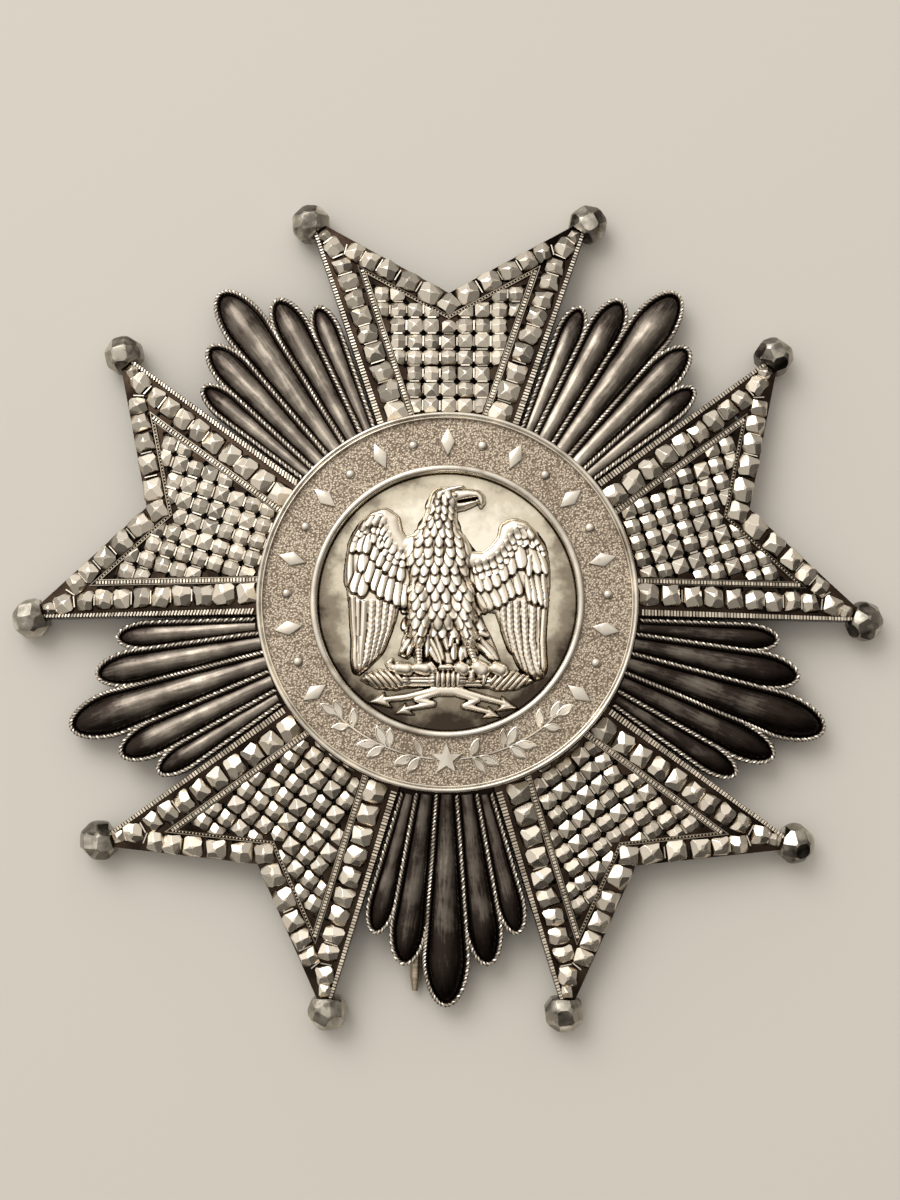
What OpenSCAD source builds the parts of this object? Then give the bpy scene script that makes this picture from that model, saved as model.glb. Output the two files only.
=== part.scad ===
// Breast star: five studded arms with faceted balls at their tips, five fans of rope-edged rays
// between them, and a round medallion with an eagle. Millimetres. The face looks along +Z, the
// upper arm points along +Y, and the balls rest on the plane z = 0.

/* [Star] */
// Distance from the star's axis to the centre of each ball
ball_reach = 43.3; // [43.1:0.1:43.6]
// Angle between an arm's axis and each of its two balls
ball_angle = 19.8; // [19.6:0.1:20]
// Width of a ball across its flats
ball_w = 4.1; // [4:0.05:4.2]
// Fall of the arms and rays from the middle outwards
dome_angle = 8; // [7.5:0.1:8.5]
// Gap left between neighbouring pieces
fit_gap = 0.05; // [0.03:0.01:0.06]

/* [Arms] */
// Thickness of an arm's plate
arm_t = 1.2; // [1:0.1:1.3]
// Angle between an arm's axis and its side edges
side_angle = 18.3; // [18.1:0.1:18.5]
// Distance of each side edge from a parallel line through the star's axis
side_offset = 1.12; // [1.06:0.02:1.18]
// Distance from the star's axis to the bottom of an arm's notch
notch_reach = 33.1; // [32.8:0.1:33.4]
// Slope of the notch's edges
notch_angle = 30; // [29.5:0.5:30.5]
// Width of the largest stud in the border rows
border_stud_w = 1.95; // [1.8:0.05:2]
// Width of a stud in the inner field
field_stud_w = 1.4; // [1.2:0.05:1.5]
// Height of the border studs above the plate
border_stud_h = 1; // [0.8:0.05:1.1]
// Height of the field studs above the plate
field_stud_h = 0.75; // [0.6:0.05:0.9]
// Diameter of the pierced holes between the field studs
pierced_d = 0.4; // [0.3:0.05:0.5]

/* [Ray fans] */
// Thickness of the plate below the rays
fan_t = 0.9; // [0.8:0.05:1]
// Diameter of the rope along each ray's edge
rope_d = 0.5; // [0.4:0.05:0.55]
// Depth of the dome's own axis below the plate's face, which sets how high a ray stands
dome_sink = 0.78; // [0.7:0.02:0.9]

/* [Medallion] */
// Outer radius of the medallion ring
ring_r = 19.35; // [19.2:0.05:19.4]
// Inner radius of the medallion ring
ring_bore_r = 13.2; // [13.1:0.05:13.3]
// Height of the ring's stippled band above the hub's boss
band_rise = 1.45; // [1.3:0.05:1.6]
// Height of the ring's two rims above the band
rim_rise = 0.6; // [0.5:0.05:0.8]
// Height of the raised ornaments on the band
ornament_h = 0.35; // [0.3:0.05:0.45]
// Thickness of the centre disc
disc_t = 0.7; // [0.6:0.05:0.8]

/* [Back] */
// Outer radius of the hub plate that carries arms, fans and medallion
hub_r = 18.6; // [18:0.1:18.8]
// Diameter of the brooch pin
pin_d = 1.2; // [1:0.1:1.2]

/* [Hidden] */
ARM_AXES = [90, 18, -54, -126, 162];
FAN_AXES = [54, -18, -90, -162, 126];
SIDES = [-1, 1];
ARM_NAMES = ["arm_1", "arm_2", "arm_3", "arm_4", "arm_5"];
FAN_NAMES = ["ray_fan_1", "ray_fan_2", "ray_fan_3", "ray_fan_4", "ray_fan_5"];
BALL_NAMES = [
    "ball_1", "ball_2", "ball_3", "ball_4", "ball_5",
    "ball_6", "ball_7", "ball_8", "ball_9", "ball_10"
];
// How each hand-cut ball happened to be turned when it was fixed on, about x, y and z
BALL_TURNS = [
    [0, 0, 0], [8, 0, 35], [35, 10, 20], [20, 30, 40], [30, 20, 10],
    [15, 0, 8], [35, 30, 0], [10, 25, 0], [20, -15, 5], [5, -10, 10]
];

// Levels
ball_y = ball_reach * cos(ball_angle) / cos(dome_angle);
ball_x = ball_reach * sin(ball_angle);
root_z = ball_w / 2 + ball_y * sin(dome_angle) - arm_t / 2 * cos(dome_angle);
ray_step = 36;
// Width of the ring's ledge that carries the disc, and the disc's clearance in the ring
disc_ledge = 0.5;
disc_clearance = 0.1;
boss_r = ring_bore_r - disc_ledge;
boss_z = root_z;
disc_r = ring_bore_r - disc_clearance;
disc_edge = 0.1;
// Distance of the arms' and the fans' inner ends from the boss
arm_inner_gap = 0.6;
fan_inner_gap = 0.9;
arm_root_y = boss_r + arm_inner_gap;
fan_root_y = boss_r + fan_inner_gap;
// Distance from the ring's edge at which the ropes start and the web between the rays ends
rope_start = 0.65;
web_end = 0.95;
fan_web_y = ring_r + web_end;
disc_z = boss_z + fit_gap;
eagle_z = disc_z + disc_t + fit_gap;
band_z = boss_z + band_rise;
rim_z = band_z + rim_rise;

// Arm outline: side edges, notch edges and the bisector of each tip
notch_level = notch_reach * cos(notch_angle);
tip_angle = (side_angle + 90 - notch_angle) / 2;
tip_gap = 1.55;
// Half width of the neck that joins an arm to each ball, at its end and past the first studs
neck_half = [0.65, 3];
peg_d = 0.9;
peg_length = 1.2;
peg_foot = 0.4;
edge_wire = [0.15, 0.9];
inner_wire = [3.3, 3.9];
notch_edge = [0.05, 0.25];
notch_wire = [2.2, 2.55];
wire_h = 0.35;
ring_clearance = 0.2;

// Border studs: distance of the first one from the ball, spacing and its growth along the row
SIDE_ROW = [5.14, 1.8, 0.03];
NOTCH_ROW = [5.17, 1.6, 0.1];
// Number of studs over which a row's studs grow to their full width
side_row_count = 9;
notch_row_count = 5;
row_limit_count = 30;
side_stud_inset = [1.77, 2.25];
notch_stud_inset = 0.95;
// Least distances of the side row from the notch and the ring, of the notch row from the axis
side_row_notch_gap = 2.5;
side_row_ring_gap = 1.1;
notch_row_axis_gap = 1.8;
// Tip studs: distance from the arm's end, width
TIP_STUDS = [[0.6, 1.05], [2, 1.4]];
centre_stud = [0, notch_reach - 1.25, 1.9];
tip_stud_scale = 0.82;
stud_foot = 0.1;
stud_table = 0.27;

// Field studs stand on a grid, and the holes sit at the grid's corners
field_pitch = [1.76, 1.76];
field_ring_gap = 1.25;
field_first_y = ring_r + field_ring_gap;
field_side_inset = 4.5;
field_notch_inset = 3.2;
// Pierced holes on each side of the arm's axis, row by row from the ring
hole_counts = [2, 2, 3, 3, 2];
// Length by which the piercing cut stands past the plate
cut_past = 1;

// Rays: each lies between two rope lines, given by their x at two levels
rope_y = [ring_r + rope_start, 32];
rope_clearance = 1.2;
ROPES_FAR = [-8.3, -5.37, -1.93, 1.93, 5.37, 8.3];
RAY_TIP_R = [34.5, 37.2, 41.2, 37.2, 34.5];
RAY_TIP_LENGTH = [3.2, 4, 5, 4, 3.2];
ray_back = 0.45;
rope_h = 0.4;
dome_block = [10, 30, 5];

// Ring ornaments on the upper part of the band and the sprigs below
rim_w = [0.75, 0.7];
band_r = [ring_bore_r + rim_w[0], ring_r - rim_w[1]];
band_mid_r = (band_r[0] + band_r[1]) / 2;
rim_edge = [0.2, 0.25];
band_edge = 0.15;
// Angle off an arm's axis at which its upper face stands highest below the ring
arm_high_angle = 23;
// Depth by which raised work is sunk into the ground that carries it
sunk = 0.1;
ornament_angles = [for (i = [0 : 20]) 215 - 12.5 * i];
lozenge = [0.75, 1.45];
pellet_r = 0.5;
// Distance of the small star and the sprigs from the band's middle, towards the disc
sprig_inset = 0.3;
star_r = band_mid_r - sprig_inset;
star_points_r = [1.75, 0.72];
star_rise = 0.1;
sprig_angles = [8, 44];
sprig_r = band_mid_r - sprig_inset;
stem_w = 0.24;
// Sprig leaves: place along the stem from 0 to 1, turn from the stem, length
LEAVES = [
    [0.02, 62, 2.1], [0.05, -60, 2.1], [0.24, 52, 2.3], [0.3, -52, 2.3],
    [0.46, 50, 2.3], [0.53, -50, 2.2], [0.68, 45, 2.1], [0.76, -45, 2],
    [0.88, 35, 1.8], [1, -5, 2.2]
];
leaf_w = 0.75;
leaf_end = 0.02;

// Signed distance rules of the arm's outline, inset by s from a side and by n from the notch
function side_x(y, s) = (side_offset - s + y * sin(side_angle)) / cos(side_angle);
function notch_y(x, n) = (notch_level - n + x * sin(notch_angle)) / cos(notch_angle);
function corner(s, n) =
    let (
        turn = cos(side_angle + notch_angle),
        a = side_offset - s,
        b = notch_level - n
    )
    [
        (a * cos(notch_angle) + b * sin(side_angle)) / turn,
        (b * cos(side_angle) + a * sin(notch_angle)) / turn
    ];
function arm_outline(s, n, y) = [
    [-side_x(y, s), y], [side_x(y, s), y], corner(s, n),
    [0, notch_y(0, n)], [-corner(s, n)[0], corner(s, n)[1]]
];
// Half width that the neighbouring arms leave to a fan at level y of its own plate
function fan_half(y) =
    let (lean = sin(side_angle) / cos(dome_angle), c = cos(ray_step), s = sin(ray_step))
    (y * cos(dome_angle) * (s * cos(side_angle) - c * lean) - side_offset - fit_gap)
        / (c * cos(side_angle) + s * lean);
outer_near = fan_half(rope_y[0]) - rope_clearance * rope_d / 2;
ROPES_NEAR = [-outer_near, -3.16, -1.06, 1.06, 3.16, outer_near];

function row_step(row, k) = k * row[1] + k * (k - 1) * row[2];
function mix(a, b, t) = a + (b - a) * t;

// Border studs: [x, y, width, turn]. A row is as long as its edge between ball, notch and ring.
side_studs = [
    for (k = [0 : row_limit_count])
        let (
            t = min(k / (side_row_count - 1), 1),
            y = ball_y - SIDE_ROW[0] - row_step(SIDE_ROW, k),
            x = side_x(y, mix(side_stud_inset[0], side_stud_inset[1], t))
        )
        if (y > arm_root_y && y <= notch_y(x, side_row_notch_gap)
            && norm([x, y]) >= ring_r + side_row_ring_gap)
            [x, y, border_stud_w * mix(tip_stud_scale, 1, t), -side_angle]
];
notch_studs = [
    for (k = [0 : row_limit_count])
        let (
            t = min(k / (notch_row_count - 1), 1),
            x = ball_x - NOTCH_ROW[0] - row_step(NOTCH_ROW, k)
        )
        if (x >= notch_row_axis_gap)
            [x, notch_y(x, notch_stud_inset), border_stud_w * mix(tip_stud_scale, 0.95, t),
             notch_angle]
];
tip_studs = [
    for (s = TIP_STUDS)
        let (back = tip_gap + s[0])
        [ball_x - back * sin(tip_angle), ball_y - back * cos(tip_angle), s[1], -tip_angle]
];
field_studs = [
    for (i = [0 : 7], j = [-4 : 4])
        let (x = j * field_pitch[0], y = field_first_y + i * field_pitch[1])
        if (abs(x) <= side_x(y, field_side_inset) && y <= notch_y(abs(x), field_notch_inset))
            [x, y]
];

// A cut stud: a square foot and a small square table turned by 45 degrees
module stud(w, h) {
    q = stud_table * w;
    translate([0, 0, arm_t - stud_foot])
        polyhedron(
            points = [
                [w / 2, w / 2, 0], [-w / 2, w / 2, 0], [-w / 2, -w / 2, 0], [w / 2, -w / 2, 0],
                [q, 0, h + stud_foot], [0, q, h + stud_foot],
                [-q, 0, h + stud_foot], [0, -q, h + stud_foot]
            ],
            faces = [
                [0, 1, 2, 3], [7, 6, 5, 4],
                [0, 5, 1], [1, 6, 2], [2, 7, 3], [3, 4, 0],
                [0, 4, 5], [1, 5, 6], [2, 6, 7], [3, 7, 4]
            ]
        );
}

// Puts a flat part, with its underside at z = 0, onto the star's fallen surface
module on_star(axis) {
    rotate([0, 0, axis - 90]) translate([0, 0, root_z]) rotate([-dome_angle, 0, 0]) children();
}

// Frame at a ball's place on an arm, with y pointing out along the tip's bisector
module at_tip(side) {
    translate([side * ball_x, ball_y, 0]) rotate([0, 0, -side * tip_angle]) children();
}

// Takes away all of an arm that would reach past its ends at the balls
module past_ends() {
    for (side = SIDES)
        at_tip(side) translate([-ball_x, -tip_gap]) square(2 * ball_x);
}

module wire_loop(s, n) {
    linear_extrude(arm_t + wire_h) difference() {
        polygon(arm_outline(s[0], n[0], arm_root_y));
        polygon(arm_outline(s[1], n[1], arm_root_y - 1));
        circle(r = ring_r + ring_clearance, $fn = 96);
        past_ends();
    }
}

module arm_plate() {
    difference() {
        linear_extrude(arm_t) difference() {
            union() {
                polygon(arm_outline(0, 0, arm_root_y));
                for (side = SIDES)
                    at_tip(side) polygon([
                        [-neck_half[1], -2 * SIDE_ROW[0]], [neck_half[1], -2 * SIDE_ROW[0]],
                        [neck_half[0], -tip_gap], [-neck_half[0], -tip_gap]
                    ]);
            }
            past_ends();
        }
        for (i = [0 : len(hole_counts) - 1], k = [1 : hole_counts[i]], side = SIDES)
            let (x = (k - 0.5) * field_pitch[0], y = field_first_y + (i + 0.5) * field_pitch[1])
            if (y <= notch_y(x, field_notch_inset))
                translate([side * x, y, -cut_past])
                    cylinder(h = arm_t + 2 * cut_past, d = pierced_d, $fn = 24);
    }
}

module arm(axis) {
    color("lightgray") on_star(axis) {
        arm_plate();
        wire_loop(edge_wire, notch_edge);
        wire_loop(inner_wire, notch_wire);
        for (s = concat(side_studs, notch_studs, tip_studs), side = SIDES)
            translate([side * s[0], s[1]]) rotate([0, 0, side * s[3]]) stud(s[2], border_stud_h);
        translate([centre_stud[0], centre_stud[1]]) rotate([0, 0, 45])
            stud(centre_stud[2], border_stud_h);
        for (s = field_studs)
            translate([s[0], s[1]]) stud(field_stud_w, field_stud_h);
        for (side = SIDES)
            at_tip(side) translate([0, -tip_gap - peg_foot, arm_t / 2]) rotate([-90, 0, 0])
                cylinder(h = peg_foot + peg_length, d = peg_d, $fn = 24);
    }
}

// A ball cut with 26 facets: squares on the cube's and the edges' directions, triangles between
long_side = 1 + sqrt(2);
corner_reach = (2 + long_side) / sqrt(3) / long_side;
module faceted_ball(w) {
    intersection() {
        cube(w, center = true);
        rotate([45, 0, 0]) cube([2 * w, w, w], center = true);
        rotate([0, 45, 0]) cube([w, 2 * w, w], center = true);
        rotate([0, 0, 45]) cube([w, w, 2 * w], center = true);
        intersection_for (turn = [45 : 90 : 315])
            rotate([0, acos(1 / sqrt(3)), turn])
                cube([2 * w, 2 * w, corner_reach * w], center = true);
    }
}

// Corners of a ball, and how far the lowest one lies below its centre once it is turned
BALL_CORNERS = [
    for (k = [0 : 2], i = SIDES, j = SIDES, l = SIDES) [
        i * (k == 0 ? long_side : 1), j * (k == 1 ? long_side : 1), l * (k == 2 ? long_side : 1)
    ] * ball_w / 2 / long_side
];
function ball_drop(t) = max([
    for (c = BALL_CORNERS) c[0] * sin(t[1]) - (c[1] * sin(t[0]) + c[2] * cos(t[0])) * cos(t[1])
]);

// Each ball stands on its lowest facet or corner, has a flat seat for the arm's tip and is
// bored for the tip's peg
module ball(axis, side, turn) {
    color("gray") difference() {
        rotate([0, 0, axis - 90])
            translate([side * ball_x, ball_reach * cos(ball_angle), ball_drop(turn)])
                rotate([0, 0, 90 - axis]) rotate(turn) faceted_ball(ball_w);
        on_star(axis) at_tip(side) {
            translate([-ball_w, fit_gap - tip_gap - ball_w, -ball_w])
                cube([2 * ball_w, ball_w, 3 * ball_w]);
            translate([0, -tip_gap, arm_t / 2]) rotate([-90, 0, 0])
                cylinder(h = peg_length + fit_gap, d = peg_d + 2 * fit_gap, $fn = 24);
        }
    }
}

// Ray geometry between rope lines k and k + 1, in a frame along the ray's own axis
function ray_foot(k) = (ROPES_NEAR[k] + ROPES_NEAR[k + 1]) / 2;
function ray_head(k) = (ROPES_FAR[k] + ROPES_FAR[k + 1]) / 2;
function ray_turn(k) = atan2(ray_head(k) - ray_foot(k), rope_y[1] - rope_y[0]);
function near_half(k) = (ROPES_NEAR[k + 1] - ROPES_NEAR[k]) / 2 * cos(ray_turn(k));
function far_half(k) = (ROPES_FAR[k + 1] - ROPES_FAR[k]) / 2 * cos(ray_turn(k));
function half_w(k, t) =
    mix(near_half(k), far_half(k), t * cos(ray_turn(k)) / (rope_y[1] - rope_y[0]));
function ray_length(k) =
    let (reach = ray_foot(k) * sin(ray_turn(k)) + rope_y[0] * cos(ray_turn(k)))
    sqrt(reach ^ 2 + RAY_TIP_R[k] ^ 2 - ray_foot(k) ^ 2 - rope_y[0] ^ 2) - reach;
function ray_bend(k) = ray_length(k) - RAY_TIP_LENGTH[k];
function ray_outline(k, grow) = concat(
    [[-half_w(k, -ray_back) - grow, -ray_back]],
    [for (a = [180 : -15 : 0]) [
        (half_w(k, ray_bend(k)) + grow) * cos(a),
        ray_bend(k) + (RAY_TIP_LENGTH[k] + grow) * sin(a)
    ]],
    [[half_w(k, -ray_back) + grow, -ray_back]]
);
function dome_r(half) = sqrt(max(half, 0) ^ 2 + dome_sink ^ 2);
function dome_profile(k) = concat(
    [[0, -ray_back]],
    [for (i = [0 : 3])
        let (t = mix(-ray_back, ray_bend(k), i / 3))
        [dome_r(half_w(k, t) - rope_d / 2), t]
    ],
    [for (a = [20 : 20 : 80]) [
        dome_r((half_w(k, ray_bend(k)) - rope_d / 2) * cos(a)),
        ray_bend(k) + (RAY_TIP_LENGTH[k] - rope_d / 2) * sin(a)
    ]],
    [[0, ray_length(k) - rope_d / 2]]
);

module ray(k) {
    translate([ray_foot(k), rope_y[0], 0]) rotate([0, 0, -ray_turn(k)]) {
        linear_extrude(fan_t) polygon(ray_outline(k, rope_d / 2));
        linear_extrude(fan_t + rope_h) difference() {
            polygon(ray_outline(k, rope_d / 2));
            translate([0, -sunk]) polygon(ray_outline(k, -rope_d / 2));
        }
        intersection() {
            translate([0, 0, fan_t - dome_sink]) rotate([-90, 0, 0])
                rotate_extrude($fn = 48) polygon(dome_profile(k));
            translate([-dome_block[0] / 2, -1, fan_t - sunk / 2]) cube(dome_block);
        }
    }
}

module ray_fan(axis) {
    color("dimgray") on_star(axis) {
        for (k = [0 : 4]) ray(k);
        linear_extrude(fan_t) polygon([
            [-fan_half(fan_root_y), fan_root_y], [fan_half(fan_root_y), fan_root_y],
            [fan_half(fan_web_y), fan_web_y], [-fan_half(fan_web_y), fan_web_y]
        ]);
    }
}

// Level of the arms' underside at radius r
function seat_z(r) = root_z - r * tan(dome_angle);
hub_rim_t = 0.7;
hub_edge = 0.4;
recess_wall = 1.2;
recess_r = boss_r - recess_wall;
boss_t = 1.05;
foot_z = seat_z(hub_r) - hub_rim_t;

module hub_plate() {
    color("silver") rotate_extrude($fn = 128) polygon([
        [0, boss_z - boss_t], [recess_r, boss_z - boss_t], [recess_r, foot_z],
        [hub_r - hub_edge, foot_z], [hub_r, foot_z + hub_edge], [hub_r, seat_z(hub_r) - fit_gap],
        [boss_r, seat_z(boss_r) - fit_gap], [boss_r, boss_z], [0, boss_z]
    ]);
}

// Level of the ring's underside at radius r, clear of the arms' upper faces
function ring_foot_z(r) =
    root_z + arm_t / cos(dome_angle) - r * cos(arm_high_angle) * tan(dome_angle) + fit_gap;

module ring_body() {
    rotate_extrude($fn = 192) polygon([
        [ring_bore_r, ring_foot_z(ring_bore_r)], [ring_r, ring_foot_z(ring_r)],
        [ring_r, rim_z - rim_edge[1]], [ring_r - rim_edge[0], rim_z],
        [band_r[1] + rim_edge[1], rim_z], [band_r[1], rim_z - band_edge],
        [band_r[1], band_z], [band_r[0], band_z],
        [band_r[0], rim_z - band_edge], [band_r[0] - rim_edge[0], rim_z],
        [ring_bore_r + rim_edge[1], rim_z], [ring_bore_r, rim_z - rim_edge[1]]
    ]);
}

module on_band(angle, r) {
    rotate([0, 0, angle]) translate([r, 0, band_z - sunk]) rotate([0, 0, -90]) children();
}

module lozenge_boss() {
    linear_extrude(sunk + ornament_h) polygon([
        [lozenge[0], 0], [0, lozenge[1]], [-lozenge[0], 0], [0, -lozenge[1]]
    ]);
}

module leaf(length) {
    linear_extrude(sunk + ornament_h) polygon(concat(
        [for (t = [0 : 0.2 : 1]) [leaf_end + leaf_w / 2 * sin(180 * t), length * t]],
        [for (t = [1 : -0.2 : 0]) [-leaf_end - leaf_w / 2 * sin(180 * t), length * t]]
    ));
}

// One laurel sprig along the band, to the right of the small star or mirrored to its left
module sprig(side) {
    mirror([side < 0 ? 1 : 0, 0, 0]) {
        rotate([0, 0, sprig_angles[0] - 90]) translate([0, 0, band_z - sunk])
            rotate_extrude(angle = sprig_angles[1] - sprig_angles[0], $fn = 192)
                translate([sprig_r - stem_w / 2, 0]) square([stem_w, sunk + ornament_h / 2]);
        for (l = LEAVES)
            on_band(mix(sprig_angles[0], sprig_angles[1], l[0]) - 90, sprig_r)
                rotate([0, 0, l[1] - 90]) mirror([1, 0, 0]) leaf(l[2]);
    }
}

module small_star() {
    on_band(-90, star_r) rotate([0, 0, 180]) linear_extrude(sunk + ornament_h + star_rise) polygon([
        for (i = [0 : 9])
            [star_points_r[i % 2] * sin(36 * i), star_points_r[i % 2] * cos(36 * i)]
    ]);
}

module medallion_ring() {
    color("silver") {
        ring_body();
        for (i = [0 : 20])
            if (i % 2 == 0) on_band(ornament_angles[i], band_mid_r) lozenge_boss();
            else on_band(ornament_angles[i], band_mid_r)
                cylinder(h = sunk + ornament_h, r = pellet_r, $fn = 24);
        small_star();
        for (side = SIDES) sprig(side);
    }
}

module centre_disc() {
    color("darkkhaki") translate([0, 0, disc_z]) rotate_extrude($fn = 128) polygon([
        [0, 0], [disc_r, 0], [disc_r, disc_t - disc_edge], [disc_r - disc_edge, disc_t], [0, disc_t]
    ]);
}

// Eagle relief. Outlines are walked anticlockwise, in the medallion's own plane, and are drawn
// for a disc of the radius relief_r, which the relief follows when the disc changes.
relief_r = 13.1;
LEFT_WING = [
    [-3.2, 5.9], [-4.2, 5.6], [-5.2, 7], [-5.3, 8.8], [-6.3, 9.4], [-7.5, 9.1], [-8.6, 7.9],
    [-9.5, 6.2], [-10.1, 4], [-10.2, 1], [-10, -3], [-9.8, -7], [-9, -7.7], [-7.6, -6],
    [-6.3, -3.8], [-4.9, -1.1], [-2.8, -0.6]
];
RIGHT_WING = [
    [1.8, 4.8], [1.8, 0.4], [4, -1.2], [5, -1.8], [5.9, -3.3], [7, -5.2], [8.5, -7.1], [9.5, -7.9],
    [10.1, -5.8], [10.5, -2], [10.6, 1.2], [10.3, 3.8], [9.5, 5.9], [8.1, 7.5], [6.8, 8.2],
    [5.5, 7.6], [4.9, 5.6]
];
BODY = [
    [-4.9, -5.6], [-4.3, -2], [-2.9, 0.8], [-4, 4.2], [-3.2, 6.2], [-2.2, 7.6], [-1.8, 9.6],
    [-0.6, 11.2], [1, 11.7], [2.6, 11.2], [3.8, 10.2], [3.7, 9.3], [2.8, 9.4], [1.4, 8.9],
    [0.8, 7.6], [1, 6.6], [2.6, 5.2], [2.6, 1], [3.6, -2], [4.6, -4.4], [5.4, -5.8],
    [2.2, -6.4], [0.2, -6.6], [-2.2, -6.4]
];
// Wing feathers: x and y of the root, x and y of the point, width
LEFT_QUILLS = [
    [-9.3, 2, -9.2, -7, 1.1], [-8.5, 2, -8.4, -6.4, 1.1], [-7.7, 2, -7.6, -5.4, 1.1],
    [-6.9, 2, -6.8, -4.2, 1.1], [-6.1, 2, -6, -2.9, 1.1], [-5.3, 2, -5.2, -1.5, 1.1]
];
RIGHT_QUILLS = [
    [9.8, 2, 9.5, -7.1, 1.1], [9, 2, 8.8, -6.6, 1.1], [8.2, 2, 8, -5.6, 1.1],
    [7.4, 2, 7.2, -4.4, 1.1], [6.6, 2, 6.4, -3.2, 1.1], [5.8, 2, 5.6, -1.9, 1.1]
];
LEFT_COVERTS = [
    [-9.2, 5.4, -9.5, 1.4, 1.2], [-8.2, 6.6, -8.4, 1, 1.2], [-7.2, 7.4, -7.2, 1.2, 1.2],
    [-6.2, 7.6, -5.9, 0.6, 1.2], [-5.2, 5.6, -4.7, 0, 1.2], [-4.2, 4.6, -3.6, 0.4, 1.2]
];
RIGHT_COVERTS = [
    [9.4, 5, 9.9, 1.2, 1.2], [8.5, 6, 8.8, 0.8, 1.2], [7.5, 6.6, 7.5, 1, 1.2],
    [6.5, 6.4, 6.2, 0.4, 1.2], [5.4, 4.8, 5, -0.4, 1.2], [4.2, 3.8, 3.9, 0, 1.2]
];
// Feathers of thighs and tail
SKIRT = [
    [-3.2, 0.4, -4.3, -4.8, 1.4], [-2.4, 0, -2.9, -5.4, 1.4], [-1, -1, -1.2, -6, 1.4],
    [0.3, -1.4, 0.2, -6.2, 1.4], [1.6, -1, 1.5, -5.8, 1.4], [2.6, -0.8, 3.2, -5.4, 1.4],
    [3.2, -1, 4.7, -5.2, 1.4]
];
eagle_base_t = 0.7;
// Rise of a feather's point above the base, and of its root above its point
quill_rise = [0, 0.2];
covert_rise = [0.25, 0.35];
skirt_rise = [0.2, 0.7];
quill_point = 0.2;
// Breast, neck, head and beak
LUMPS = [
    [[-0.7, 4, -0.8, 5.6], [-0.3, -1, -0.4, 3.6]],
    [[-0.5, 6, -0.2, 3.8], [-0.1, 9.8, 0.2, 2.8]],
    [[0.2, 10.1, 0.5, 2.7], [1.9, 10.3, 0.5, 1.5]],
    [[1.9, 10.3, 0.5, 1.4], [3.2, 10.1, 0.4, 1]],
    [[3.2, 10.1, 0.4, 1], [3.6, 9.5, 0.3, 0.5]]
];
// Bundle, its pointed end and a leg; then the claw's toes
RIDGES = [
    [[1.6, -7.2, 1.1, 2.4, 1.2], [5, -7, 1, 2.2, 1]],
    [[5, -7.2, 1, 2, 1], [8.6, -8.1, 0.5, 0.7, 0.4]],
    [[2.9, -5.4, 1.2, 1, 1], [3.1, -7, 1.6, 1.1, 1.1]]
];
TOE_ROOT = [3, -6.2, 1.6, 0.8, 0.8];
TOES = [1.5, 3, 4.5];
// A toe's end: y, height, foot and top diameters
toe_end = [-7.3, 1.3, 0.5, 0.5];
BOLTS = [
    [0.6, [
        [0.3, -8.1], [2.6, -8.6], [3.4, -9], [5.4, -9.2], [5.6, -8.8], [7.5, -10.3],
        [5.2, -10.5], [5.4, -9.9], [3.2, -9.7], [2, -9.1], [0.3, -9.1]
    ]],
    [0.5, [
        [1.6, -8.9], [3, -10], [3.6, -10.4], [4.6, -10.6], [4.9, -11.5], [3.4, -11.4],
        [2.7, -10.9], [0.9, -9.2]
    ]]
];
// Knot on the bundle: diameter, place, height; and the tie below it
knot = [2, -7.3, 1.4];
tie = [1.4, 3, 1.1];
tie_y = -9;

module feather(f, z, h) {
    hull() {
        translate([f[0], f[1], 0]) cylinder(h = z + h, d1 = f[4], d2 = f[4] * 0.4, $fn = 6);
        translate([f[2], f[3], 0]) cylinder(h = z, d1 = f[4] * 0.7, d2 = quill_point, $fn = 6);
    }
}

module wing(outline, quills, coverts) {
    linear_extrude(eagle_base_t) polygon(outline);
    for (f = quills) feather(f, eagle_base_t + quill_rise[0], quill_rise[1]);
    for (f = coverts) feather(f, eagle_base_t + covert_rise[0], covert_rise[1]);
}

// A rounded lump stretched between two balls, given by their places and diameters
module lump(a, b) {
    hull() {
        translate([a[0], a[1], a[2]]) sphere(d = a[3], $fn = 12);
        translate([b[0], b[1], b[2]]) sphere(d = b[3], $fn = 12);
    }
}

// A ridge between two posts, given by place, height, foot and top diameters
module ridge(a, b, side) {
    hull() {
        translate([side * a[0], a[1], 0]) cylinder(h = a[2], d1 = a[3], d2 = a[4], $fn = 8);
        translate([side * b[0], b[1], 0]) cylinder(h = b[2], d1 = b[3], d2 = b[4], $fn = 8);
    }
}

module eagle_body() {
    linear_extrude(eagle_base_t) polygon(BODY);
    for (l = LUMPS) lump(l[0], l[1]);
    for (f = SKIRT) feather(f, eagle_base_t + skirt_rise[0], skirt_rise[1]);
}

// Thunderbolt bundle held by the claws, with two barbed bolts below it
module bundle() {
    for (side = SIDES) {
        for (r = RIDGES) ridge(r[0], r[1], side);
        for (toe = TOES) ridge(TOE_ROOT, concat([toe], toe_end), side);
        for (b = BOLTS) linear_extrude(b[0]) scale([side, 1]) polygon(b[1]);
    }
    translate([0, knot[1], 0]) cylinder(h = knot[2], d = knot[0], $fn = 12);
    translate([-tie[0] / 2, tie_y, 0]) cube(tie);
}

module eagle() {
    color("whitesmoke") translate([0, 0, eagle_z]) scale(disc_r / relief_r) intersection() {
        union() {
            wing(LEFT_WING, LEFT_QUILLS, LEFT_COVERTS);
            wing(RIGHT_WING, RIGHT_QUILLS, RIGHT_COVERTS);
            eagle_body();
            bundle();
        }
        translate([0, 0, relief_r]) cube(2 * relief_r, center = true);
    }
}

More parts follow.
